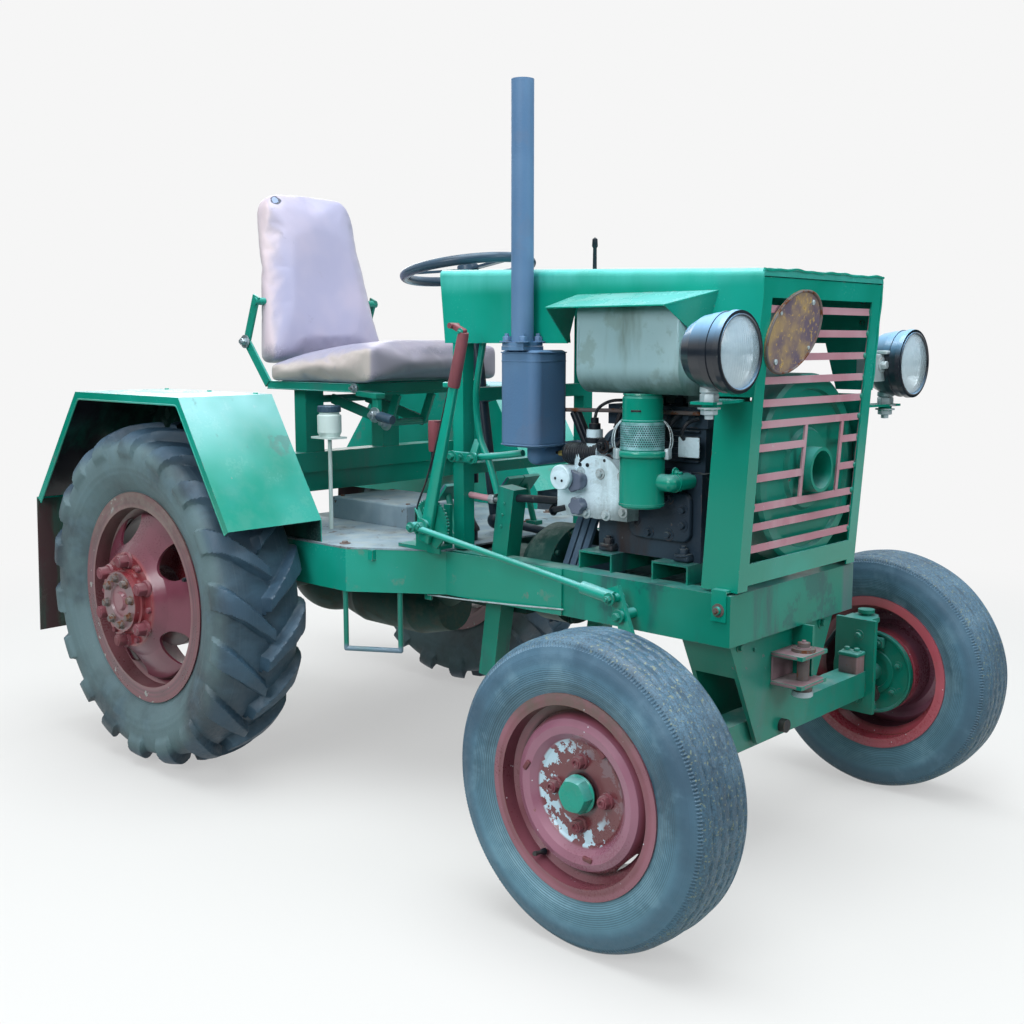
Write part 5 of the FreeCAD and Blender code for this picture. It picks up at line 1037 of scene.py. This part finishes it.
# ---- engine side: air cleaner, gear case, pump, pipes ----
def holedSheet(name, centre, look):
    # pale sheet wrapped round the drum with rows of small round holes, told by angle and height; the holes are dark
    # discs, painted shade where the sheet would be open
    s = Shade(name)
    x, y, z = s.parts(s.stretched(centre=tuple(-metres(centre))))
    rise = z / look["rowPitch"]
    a = x.math("ARCTAN2", y) * (look["radius"] / look["pitch"]) + (rise.math("FLOOR") * 0.5).math("FRACT")
    a = a.math("FRACT") - 0.5
    b = (rise.math("FRACT") - 0.5) * (look["rowPitch"] / look["pitch"])
    fine = s.noise(70, 4)
    inside = z.between(look["from"], look["from"] + 0.001) * (1 - z.between(look["to"] - 0.001, look["to"]))
    hole = (1 - (a * a + b * b).math("SQRT").between(0.26, 0.36)) * inside
    # the dark tone of the holes is painted shade
    tone = s.mix(hole, s.mix(fine.between(0.4, 0.65), (96, 158, 156), (146, 190, 196)), (30, 44, 56))
    return s.set(Base_Color=tone, Roughness=fine * 0.2 + 0.4, Metallic=0.1,
                 Normal=s.bump(fine * 0.3 - hole, 0.5, 0.0012))


print("engine")
cleaner = np.array([1250, -236, 0])
finishes["screenSheet"] = holedSheet("screenSheet", cleaner, {
    "radius": 0.0436, "pitch": 0.0048, "rowPitch": 0.0043, "from": 0.854, "to": 0.898})
piece("cleanerScreen", lathe([(849.5, 42.5), (850, 44.2), (853, 44.2), (853.5, 43.6), (900, 43.6), (900.5, 44.2),
                              (903.5, 44.2), (904, 42)], cleaner, up, 72, True), "screenSheet")
piece("cleanerRings", [lathe(rows, cleaner, up, sides, True) for sides, rows in (
    (72, [(836, 46), (836.2, 51.2), (837.8, 52.2), (846.2, 52.2), (847.8, 51), (848, 44)]),
    (72, [(905, 40.5), (905.2, 43.8), (906.8, 43.8), (908.5, 40.5)]),
    (64, [(955.5, 38), (956, 39.4), (959, 38.8), (960, 30)]),
    (64, [(737, 40), (739, 45.5), (744, 46.2), (745, 40)]))], "bodyPaint")
clips = []
for hook in ((0.957, 0.29, 0), (-0.547, -0.837, 0)):
    hook = np.array(hook)
    for off in (-7, 7):
        across = np.cross(up, hook) * off
        clips.append(pipe([cleaner + hook * out + across * share + [0, 0, level] for out, share, level in (
            (52.5, 1, 838), (62, 1, 866), (57, 0.7, 892), (44.6, 0.3, 906))], 1.2, sides=8))
    clips.append(moved(block((10, 20, 22), 3), cleaner + hook * 53 + [0, 0, 842], hook))
piece("cleanerClips", clips, "paleMetal")
# the slit is a black block: painted shade in place of an opening
slitWay = np.array([0.3, -0.954, 0])
piece("cleanerSlit", moved(block((2.6, 21, 4.2), 1), cleaner + slitWay * 39.6 + [0, 0, 926], slitWay), "oilyBlack")
piece("elbowClamp", [lathe([(-5, 17.2), (-5, 19), (5, 19), (5, 17.2)], cleaner + [64, 22, 786], left, 32, True),
                     bolt(cleaner + [64, 22, 806], ahead, 10, stud=8)], "bodyPaint")

# gear case: round cap with two finger holes, lobed knobs, bolts along the joint, a lower drain
finishes["knobViolet"] = worn("knobViolet", dict(
    base=(98, 106, 126), faded=(132, 140, 158), dull=(84, 86, 102), rough=0.45, grain=0.6, chipStart=0.66,
    under=(170, 176, 184), dust=0.3, metal=0.2))
piece("caseKnobs", [
    lathe([(-20, 14), (-4, 15.5, 0.2), (0, 17.2, 1), (10, 18, 1), (13, 16, 1), (14, 0)], (1081, -227, 721), right, 96,
          lobes=(6, 0.11)),
    lathe([(-26, 17), (-8, 18.5, 0.2), (-4, 21.5, 1), (5, 22.2, 1), (8, 20, 1), (9, 0)], (1078, -235, 773), right, 96,
          lobes=(5, 0.1))], "knobViolet")
capAt = np.array([1054, -243, 780])
piece("caseCap", lathe([(-26, 21), (0, 23.5), (4, 26.2), (7, 26.8), (13, 26.2), (15, 24), (14.2, 15), (15, 13),
                        (15.2, 0)], capAt, right, 56), "alloyCast")
# the finger holes are black plugs: painted shade in place of open holes
piece("caseCapHoles", [lathe([(-4, 0), (-4, 3), (15.7, 3), (16, 0)], capAt + hole, right, 16)
                       for hole in ([-11, 0, -2], [7, 0, -6])], "oilyBlack")
piece("caseBolts", bolts([(x, -217, z) for x, z in (
    (1078, 790), (1130, 790), (1186, 788), (1190, 716), (1146, 706), (1094, 706))], right, 11.5)
      + [bolt((1018, -190, 706), (-1, -0.3, 0), 14)], "paleMetal")
piece("caseDrain", [pipe([(1036, -214, 712), (1014, -216, 706), (1000, -214, 703)], 7, sides=14),
                    bolt((1001, -214, 703), (-1, 0, -0.15), 12)], "oilyBlack")

# pump: a ribbed black barrel with a brass union, a riser and its pipes
barrel = [(t * 88, 22.4 + 0.8 * math.sin(t * 14 * tau)) for t in np.linspace(0, 1, 89)]
pump = [lathe([(0, 0)] + barrel + [(88, 0)], (1020, -185, 824), (90, 0, 6), 40),
        lathe([(0, 0), (0, 19), (10, 20.5), (12, 17, 1), (24, 17, 1), (26, 12.5), (40, 12), (41, 8.5), (52, 8),
               (52, 0)], (1088, -185, 850), up, 30),
        pipe([(1088, -185, 900), (1090, -180, 922), (1112, -165, 938), (1180, -158, 941), (1230, -150, 938)],
             3.4, 18, 10),
        pipe([(1110, -184, 832), (1136, -180, 838), (1150, -170, 860), (1156, -158, 884)], 4.6, sides=10),
        moved(block((52, 30, 16), 4), (1120, -172, 812), (1, 0, 0.1)),
        moved(block((12, 20, 90), 4), (1040, -170, 872), (1, 0, 0.55)),
        moved(block((8, 16, 100), 3), (1056, -172, 868), (1, 0, 0.55))]
pump += [bolt((x, -204, z), right, size, stud=4)
         for x, z, size in ((1076, 806, 14), (1096, 806, 14), (1126, 846, 16), (1140, 818, 12))]
piece("injectionPump", pump, "oilyBlack")
unionWay = (-1, 0, -0.06)
piece("brassUnion", lathe([(0, 0), (0, 12.5, 1), (8, 12.5, 1), (9, 10.5), (16, 10), (18, 7), (30, 6), (31, 0)],
                          (1022, -185, 824), unionWay, 24), "brass")
piece("pumpCollar", [lathe([(-2, 0), (-2, 20.5), (6, 21.2), (14, 20.5), (14, 0)], (1030, -185, 824.6), unionWay, 36),
                     pipe([(998, -185, 822), (984, -187, 823), (972, -190, 826)], 3.4, 10, 10)], "oilyBlack")

# the long rod that passes under the tank, a hose beside it and the fuel line from the tank
piece("throttleRods", pipe([(900, -176, 912), (1120, -176, 918), (1338, -172, 920)], 4.2, 10, 10), "rustySteel")
piece("fuelHoses", [
    pipe([(1150, -120, 960), (1152, -150, 948), (1148, -168, 922), (1132, -170, 890), (1130, -168, 862)], 5, 30),
    pipe([(1260, -150, 862), (1262, -176, 872), (1276, -178, 900), (1288, -158, 918), (1300, -142, 905)], 4.8),
    pipe([(1300, -168, 868), (1304, -184, 880), (1316, -180, 902), (1328, -160, 908)], 4)], "oilyBlack")

# engine wall: blank plate, side cover with its bolts, head bolts, core plugs and feet
piece("blankPlate", [moved(block((50, 2, 40), 1), (1312, -166.8, 852))]
      + bolts([(1312 + dx, -167.4, 852 + dz) for dx in (-21, 21) for dz in (-16, 16)], right, 4.2, washer=False,
              tall=0.3), "alloyCast")
wall = [moved(block((150, 100, 14), 20, 4), (1250, -171, 712), ahead, right),
        moved(block((190, 30, 10), 6, 2), (1230, -169.5, 790), ahead, right)]
wall += bolts([(1250 + 64 * math.cos(k * tau / 8 + 0.4), -177.5, 712 + 40 * math.sin(k * tau / 8 + 0.4))
               for k in range(8)], right, 12)
for x in (1150, 1200, 1250, 1300):
    wall += [bolt((x, -150.5, 912), right, 15), *bolts([(x, -110, 930.5), (x, 110, 930.5)], up, 20, stud=6),
             bolt((x, 150.5, 912), left, 15)]
for x in (1120, 1310):
    for y in (-172, 172):
        wall += [moved(block((36, 30, 12), 4), (x, y, 631)), bolt((x, y + math.copysign(4, y), 637), up, 18, stud=5)]
wall += [moved(block((215, 12, 4), 1.5), (1215, side * 143, level))
         for level in (822, 834, 846, 858, 870, 882) for side in (-1, 1)]
piece("engineFittings", wall, "enginePaint")
piece("engineLeftSide", [
    lathe([(0, 0), (0, 30), (4, 34), (16, 34), (20, 30), (21, 0)], (1200, 166, 740), left, 40),
    moved(block((160, 20, 70), 6), (1200, 172, 850)),
    pipe([(1280, 150, 850), (1285, 186, 846), (1280, 190, 770), (1260, 176, 700)], 14, 30, 16),
    *bolts([(1135 + 130 * k, 183, 875 - 50 * j) for k in (0, 1) for j in (0, 1)], left, 14)], "enginePaint")

# tank: seam beads and the filler cap with its grip
seamLine = ((-100, 958.2), (-244, 958.2), (-292, 1006), (-292, 1111), (-272, 1132), (-100, 1132))
piece("tankSeams", [sweep(rounded([(x, y, z) for y, z in seamLine], 45, 8), circle(2.2), hint=ahead)
                    for x in (1131, 1368)], "tankGrey", sharp=60)
piece("tankCap", lathe([(0, 34), (2, 36.5, 0.3), (6, 37.5, 1), (22, 37.5, 1), (27, 34, 0.6), (28.5, 20), (28.5, 0)],
                       (1240, -60, 1132), up, 96, lobes=(12, 0.03)), "blackPaint")


# ---- levers and the rods between the deck and the engine ----
print("levers")
lever = dict(pivot=np.array([718, -318, 652]), top=np.array([838, -318, 1083]), sleeve=(322, 442), out=12.8, width=34,
             taper=0.36, depth=13, length=372, middle=147)
leverWay = unit(lever["top"] - lever["pivot"])
latch = lever["top"] + [-33, 0, 9.2]
# the arm narrows upward; boss, latch bar and their collars sit on it
points, faces = block((lever["depth"], lever["width"], lever["length"]), 3.5)
points[:, 1] *= 1 - lever["taper"] * (points[:, 2] / lever["length"] + 0.5)
start, end = lever["sleeve"]
foot = lever["pivot"] + leverWay * start
piece("leverArm", [
    moved((points[:, [2, 0, 1]], faces), lever["pivot"] + leverWay * lever["middle"], leverWay, ahead),
    lathe([(-16, 0), (-16, 13.5), (17.7, 13.5), (17.7, 0)], lever["pivot"], left, 30),
    bar(foot + [-30, 0, 4], foot + [6, 0, 4], 10, 12, 3)], "bodyPaint", stands=["hand_lever"])
sleeve = [(start, 0), (start, lever["out"]), (start + 4, lever["out"] + 0.9), (start + 60, lever["out"]),
          (end - 10, lever["out"] - 0.6), (end, 11.2), (end, 0)]
piece("leverGrip", [lathe(sleeve, lever["pivot"], leverWay, 40), bar(latch, lever["top"] + [4, 0, -6], 12.2, 14, 4),
                    lathe([(-12, 0), (-12, 6.2), (14, 6), (16, 4.5), (16, 0)], latch, left, 18)], "gripRed")
piece("leverBolts", [bolt(place, right, size, stud=stud) for place, size, stud in (
    ((718, -334, 652), 17, 5), ((702, -354, 650), 12, 0), (lever["top"] + [-4, -8, -4], 8, 0),
    ((1236, -290, 520), 14, 0), ((1226, -305.2, 556), 13, 4), ((1212, -240.5, 522), 16, 0))], "framePaint")

# a toothed quarter plate round the lever's pivot, with its pawl and links
turn = np.linspace(math.radians(-15), math.radians(150), 90)
teeth = 56 + 2.2 * np.sign(np.sin(turn * 46))
fan = [*zip(teeth * np.cos(turn), teeth * np.sin(turn)), (-52, -20), (20, -52)]
piece("leverQuadrant", [moved(slab(fan, 5), (718, -307, 652), ahead, right),
                        bar((690, -324, 690), (716, -326, 652), 4, 14, 1.5, left),
                        bar((672, -306, 628), (704, -306, 690), 5, 20, 2, left),
                        bar((700, -300, 603), (740, -300, 603), 5, 34, 1)], "framePaint")

# shift levers: a long sleeve on the first, a ball on the second
piece("shiftSleeve", lathe([(812, 7), (812, 12.8), (816, 14.6), (874, 15.2), (882, 14), (882.5, 7)],
                           (685.5, -262, 0), up, 30, True), "gripRed")
ball = [(-19 * math.cos(t), 19 * math.sin(t) if 0 < t < math.pi else 0) for t in np.linspace(0, math.pi, 19)]
piece("shiftKnob", lathe(ball, (664, -120, 782), up, 36), "gripPlastic")
piece("shiftBoots", [lathe([(0, 0), (0, 27), (6, 26), (22, 17), (40, 10), (42, 0)], place, up, 32)
                     for place in ((672, -262, 617), (650, -120, 612))], "oilyBlack")

# rods beside the column: a bent green one, a cross rod on its link plate, a push rod with its bright nut
bentRod = smoothRoute([(790, -207, 1075), (784, -208, 1046), (766, -210, 942), (776, -209, 850), (803, -206, 790),
                       (826, -204, 722)], 50)
piece("greenRods", [sweep(bentRod, circle(7.8, 14)),
                    pipe([(770, -214, 801), (850, -210, 810), (905, -206, 818)], 7.5, sides=14),
                    moved(block((92, 24, 6), 6), (744, -232.5, 801), ahead, right),
                    bar((768, -226, 796), (772, -208, 840), 10, 20, 2, ahead)], "bodyPaint")
piece("linkBolts", [bolt((x, -235.5, 801), right, size) for x, size in ((714, 13), (742, 9), (776, 13))]
      + bolts([(855, -214.2, 704), (850, -214.2, 678), (846, -214.2, 652)], right, 6, washer=False, tall=0.3),
      "framePaint")
piece("pushRod", pipe([(743, -206, 713), (780, -206, 711), (812, -205, 709)], 7.2, sides=14), "barPink")
piece("pushNut", lathe([(0, 0), (0, 11.5, 1), (12, 11.5, 1), (14, 9.5), (14, 6), (26, 6), (27, 0)],
                       (806, -205, 709), ahead, 24), "steel")
piece("caseRod", pipe([(878, -196, 716), (950, -200, 720), (1016, -203, 722)], 8.6, sides=14), "oilyBlack")

# the latch cable down the lever and the thin rod under the skirt
latchWire = [(806, -322, 1000), (770, -324, 880), (728, -326, 762), (694, -327, 690), (686, -322, 640)]
piece("latchWire", sweep(smoothRoute(latchWire), circle(2.2)), "oilyBlack")
underRod = [(664, -268, 479), (780, -266, 484), (900, -262, 491), (1060, -250, 501)]
piece("underRod", sweep(smoothRoute(underRod), circle(1.8)), "paleMetal")
piece("underTab", moved(block((22, 6, 30), 1.5), (664, -266, 482)), "framePaint")


# ---- small trim: fenders, deck, seat rails, hanger, knuckles, driveline ----
print("trim")
fenderLine = ((-461, 628.7), (-232.4, 914), (227.1, 914), (404.8, 631.4))
for side in (-1, 1):
    edge = sweep(rounded([(x, side * 638.5, z) for x, z in fenderLine], 10, 4), circle(2.6), hint=left)
    piece("fenderEdge_" + hands[side], [
        edge, *bolts([(x, side * 384.2, 612) for x in (-150, 60, 250)], left * side, 14),
        *bolts([(x, side * 402, 932) for x in (-200, 0, 200)], up, 11, washer=False, tall=0.35)], "bodyPaint",
          sharp=60)

# deck bolt heads, the tunnel's screws and the pedals' pads
piece("deckBolts", bolts([(x, y, 589) for x in (90, 300, 480) for y in (-360, 360)], up, 13, tall=0.35)
      + bolts([(x, y, 589) for x in (560, 700) for y in (-190, 190)], up, 13, tall=0.35)
      + bolts([(x, y, 647) for x in (140, 400) for y in (-88, 88)], up, 11, washer=False, tall=0.3),
      "rustySteel")
piece("pedalPads", [moved(block((58, 36, 6), 6, 2), (575.5, y, 703.5), left, (-0.76, 0, 0.65))
                    for y in (-110, 110, 170)], "beltRubber")

# seat rails are channels: pale edges top and bottom, worn in places and lit by a painted sky reflection on top, bright
# nuts, hangers and a dark knob on the near one
piece("seatRailLips", [bar((-24, side * 205.6, level), (352, side * 205.6, level), 2.2, 2.6, 0.8)
                       for side in (-1, 1) for level in (934.2, 953.2)], "fenderPaint", sharp=60)
piece("seatNuts", [bolt((-112, side * 210.5, 1058), left * side, 18, stud=4) for side in (-1, 1)]
      + [bolt((338, side * 206, 944), left * side, 13, stud=6) for side in (-1, 1)]
      + [bolt((300, -70, 850), right, 20, stud=8), bolt((404, -197, 880), right, 19, stud=6)], "steel")
piece("seatHangers", [bar((340, -190, 932), (418, -190, 926), 30, 14),
                      bar((404, -190, 930), (404, -190, 872), 14, 22, 2, ahead)], "framePaint")
piece("seatKnob", lathe([(0, 0), (0, 9.5), (12, 12.5), (50, 12), (58, 10.5), (58, 0)], (406, -192, 878),
                        (0.96, 0, -0.14), 28), "gripPlastic")
steeringHub = np.array([536, 0, 1208])
piece("steeringCap", lathe([(34.8, 0), (34.8, 25.2), (37.5, 24.4), (42, 19), (44, 10), (44.6, 0)], steeringHub,
                           steeringHub - [625, 0, 620], 40), "gripPlastic", "steering_wheel")
piece("potCap", lathe([(884, 27.5), (885, 29.2, 1), (898, 28.6, 1), (900.5, 26.2, 0.4), (901, 0)], (280, -240, 0), up,
                      96, lobes=(24, 0.02)), "gripPlastic")

# hanger: bolts, a pin slot with the rusty jaw plates, and the block on the axle beam
piece("hangerBolts", [
    bolt((1440, 64, 468), ahead, 16, stud=4), bolt((1440, -114, 456), ahead, 7, washer=False),
    bolt((1440, 150, 466), ahead, 13), bolt((1440, -168, 470), ahead, 10),
    *bolts([(1326, -150, 462), (1326, 150, 462)], -ahead, 13)], "framePaint")
jaw = block((72.2, 100.8, 9), (14, 3, 3, 14))
piece("jawPlates", [moved(jaw, (1476.1, 0, 375)), moved(jaw, (1476.1, 0, 435)),
                    moved(block((3, 96, 50), 1), (1441.6, 0, 405)), bolt((1486, 0, 446), up, 15, stud=4)], "jawRust")
piece("jawNut", [lathe([(0, 12.5), (0, 21.5), (-10, 21.5), (-12, 19), (-12, 12.5)], (1486, 0, 358), up, 30, True),
                 pipe([(1486, -24, 353), (1486, 26, 353)], 2.6, sides=8)], "paleMetal")
piece("beamBlocks", [moved(block((46, 38, 42), 3), (1400, side * 374, 325)) for side in (-1, 1)], "jawRust")
piece("beamCaps", [moved(block((50, 42, 10), 4), (1400, side * 374, 349)) for side in (-1, 1)]
      + bolts([(1400 + dx, side * 374, 353) for side in (-1, 1) for dx in (-12, 12)], up, 12)
      + [bolt((1404, side * 397.8, z), right * side, 12) for side in (-1, 1) for z in (388, 236)], "framePaint")
folds = [(30 * t, 22.5 + 3 * math.cos(t * 5 * tau)) for t in np.linspace(0, 1, 41)]
for side in (-1, 1):
    # the raised rim, bolts, wheel cylinder and dust bellows on the inner face of a brake plate
    inward, centre, body = right * side, np.array([1394, side * 496, 281]), "knuckle_" + hands[side]
    piece("brakePlate_" + hands[side], [
        lathe([(-4, 90), (5, 90.5), (9.5, 94.5), (9.5, 98.5), (-3, 99.2)], centre, inward, 64, True),
        lathe([(-1, 54), (4, 52), (4, 40), (-1, 38)], centre, inward, 48, True),
        *bolts([wheelSpot(centre, side, 20 + 60 * k, -0.5, 66) for k in range(6)], inward, 11, stud=3),
        moved(block((60, 16, 26), 5), centre + [0, side * -8, 74]),
        *bolts([centre + [dx, side * -16, 74] for dx in (-18, 18)], inward, 10)], "framePaint", body)
    hose = [(6, -14, 78), (6, -50, 104), (-50, -70, 120), (-85, -78, 60)]
    piece("brakeBellows_" + hands[side], [
        lathe([(0, 0)] + folds + [(30, 0)], centre + [-4, side * -2, -52], inward, 32),
        pipe([centre + [x, side * y, z] for x, y, z in hose], 5, 30)], "oilyBlack", body)

# driveline: back plate, clutch bell and gearbox bolts
under = [bolt(wheelSpot(np.array([0, side * 430, 430]), side, 22.5 + 45 * k, 0, 112), right * side, 14)
         for side in (-1, 1) for k in range(8)]
under += bolts([(965, -80 + 103 * math.cos(k * tau / 10), 540 + 103 * math.sin(k * tau / 10)) for k in range(10)],
               ahead, 11)
for x in (640, 720, 800):
    under += [bolt((x, -158.2, 556), right, 13), bolt((x, -1.8, 556), left, 13)]
# the drive bolts share the painted shade and mud of the parts under the deck
piece("driveBolts", under, "shadeAndGrimeGreen")


# ---- floor, light and camera ----
print("stage")
backdrop, pale = rgb(246, 246, 246), (204, 200, 196)
stage = dict(radius=14, floorGlow=0.5, glowFrom=1.9, glowFull=3.6, flagRadius=6.5, flagTop=1.9, worldLevel=0.85,
             zenith=(0.86, 0.94, 1, 1), horizon=(0.55, 0.66, 0.72, 1))
lamps = {
    "skyLamp": dict(place=(0.6, -0.6, 5.2), aim=(0, 0, 0.6), size=4.6, power=300, tone=(0.88, 0.96, 1)),
    "sideLamp": dict(place=(1.2, -5, 2.9), aim=(0, 0, 0.6), size=2.6, power=120, tone=(0.94, 0.98, 1)),
    "frontLamp": dict(place=(5, 0.8, 2.6), aim=(0.3, 0, 0.6), size=2.2, power=60, tone=(0.9, 0.96, 1)),
    "rearLamp": dict(place=(-4.6, 2.6, 3), aim=(-0.2, 0, 0.8), size=2.4, power=70, tone=(1, 0.99, 0.96))}
cameraSetup = dict(place=(2.1245, -2.1604, 1.061), turn=43, tilt=8, lens=42.92)


def added(name, data):
    made = bpy.data.objects.new(name, data)
    bpy.context.scene.collection.objects.link(made)
    return made


def stagePiece(name, points, faces, material):
    mesh = bpy.data.meshes.new(name)
    mesh.from_pydata(points, [], faces)
    mesh.materials.append(material)
    made = added(name, mesh)
    return made


def seenRays(shade):
    # 1 for the rays that show the backdrop: the camera's own, mirrored and passed through glass
    rays = [shade.node("LightPath", {}, {}, "Is %s Ray" % kind) for kind in ("Camera", "Glossy", "Transmission")]
    return rays[0].math("MAXIMUM", rays[1].math("MAXIMUM", rays[2]))


def stageFloor():
    # pale where it is seen, greyer where it only bounces light; it glows into the backdrop further out
    s = Shade("stageFloorTone")
    near = s.mix(s.noise(0.8, 2) * 0.15, pale, (196, 193, 190))
    seen = seenRays(s)
    s.set(Base_Color=s.mix(seen, (120, 134, 128), near), Roughness=0.95, Specular_IOR_Level=0)
    glow = s.node("Emission", {}, {"Color": backdrop, "Strength": 1})
    reach = s.length(s.place).between(stage["glowFrom"], stage["glowFull"])
    share = (reach * (1 - stage["floorGlow"]) + stage["floorGlow"]) * seen
    either = s.node("MixShader", {}, {0: share, 1: Wire(s, s.shader.outputs[0]), 2: glow})
    s.tree.links.new(either.socket, s.tree.nodes["Material Output"].inputs["Surface"])
    rim, count = circle(stage["radius"], 96), 96
    stagePiece("stageFloor", [(0, 0, 0), *[(x, y, 0) for x, y in rim]],
               [(0, k + 1, (k + 1) % count + 1) for k in range(count)], s.material)


def stageFlag():
    # a dark wall around the set, unseen by the camera, that keeps side reflections deep
    s = Shade("stageFlagTone")
    s.set(Base_Color=s.mix(s.noise(1.3, 4), (26, 44, 44), (44, 66, 58)), Roughness=1, Specular_IOR_Level=0)
    points, faces = stacked([circle(stage["flagRadius"], 64)] * 2, [0.002, stage["flagTop"]])
    wall = stagePiece("stageFlag", points.tolist(), faces.tolist(), s.material)
    wall.visible_camera = wall.visible_transmission = wall.visible_shadow = False


def stageLamp(name, look):
    lamp = bpy.data.lights.new(name, "AREA")
    lamp.shape, lamp.size, lamp.energy, lamp.color = "DISK", look["size"], look["power"], look["tone"]
    holder = added(name, lamp)
    holder.location = look["place"]
    holder.rotation_euler = (Vector(look["aim"]) - Vector(look["place"])).to_track_quat("-Z", "Y").to_euler()
    holder.visible_camera = False


class Sky(Shade):
    # the world's nodes, written like a material's
    def __init__(self, world):
        world.use_nodes = True
        self.tree = world.node_tree


def stageWorld():
    # the light is brighter overhead than at the horizon; what is seen of it is the pale backdrop
    bpy.context.scene.world = world = bpy.data.worlds.new("stageWorld")
    s = Sky(world)
    height = s.part(s.node("TexCoord", {}, {}, "Generated"), 2)
    sky = s.mix(height.between(0, 0.9), list(stage["horizon"]), list(stage["zenith"]))
    lit = s.node("Background", {}, {"Color": sky, "Strength": stage["worldLevel"]})
    seen = s.node("Background", {}, {"Color": backdrop, "Strength": 1})
    either = s.node("MixShader", {}, {0: seenRays(s), 1: lit, 2: seen})
    s.tree.links.new(either.socket, s.tree.nodes["World Output"].inputs["Surface"])


stageFloor()
stageFlag()
stageWorld()
for lampName, lampLook in lamps.items():
    stageLamp(lampName, lampLook)

cameraData = bpy.data.cameras.new("sceneCamera")
cameraData.lens, cameraData.sensor_width = cameraSetup["lens"], 36
camera = added("sceneCamera", cameraData)
camera.location = cameraSetup["place"]
camera.rotation_euler = (math.radians(90 - cameraSetup["tilt"]), 0, math.radians(cameraSetup["turn"]))
bpy.context.scene.camera = camera
bpy.context.scene.view_settings.view_transform = "Standard"
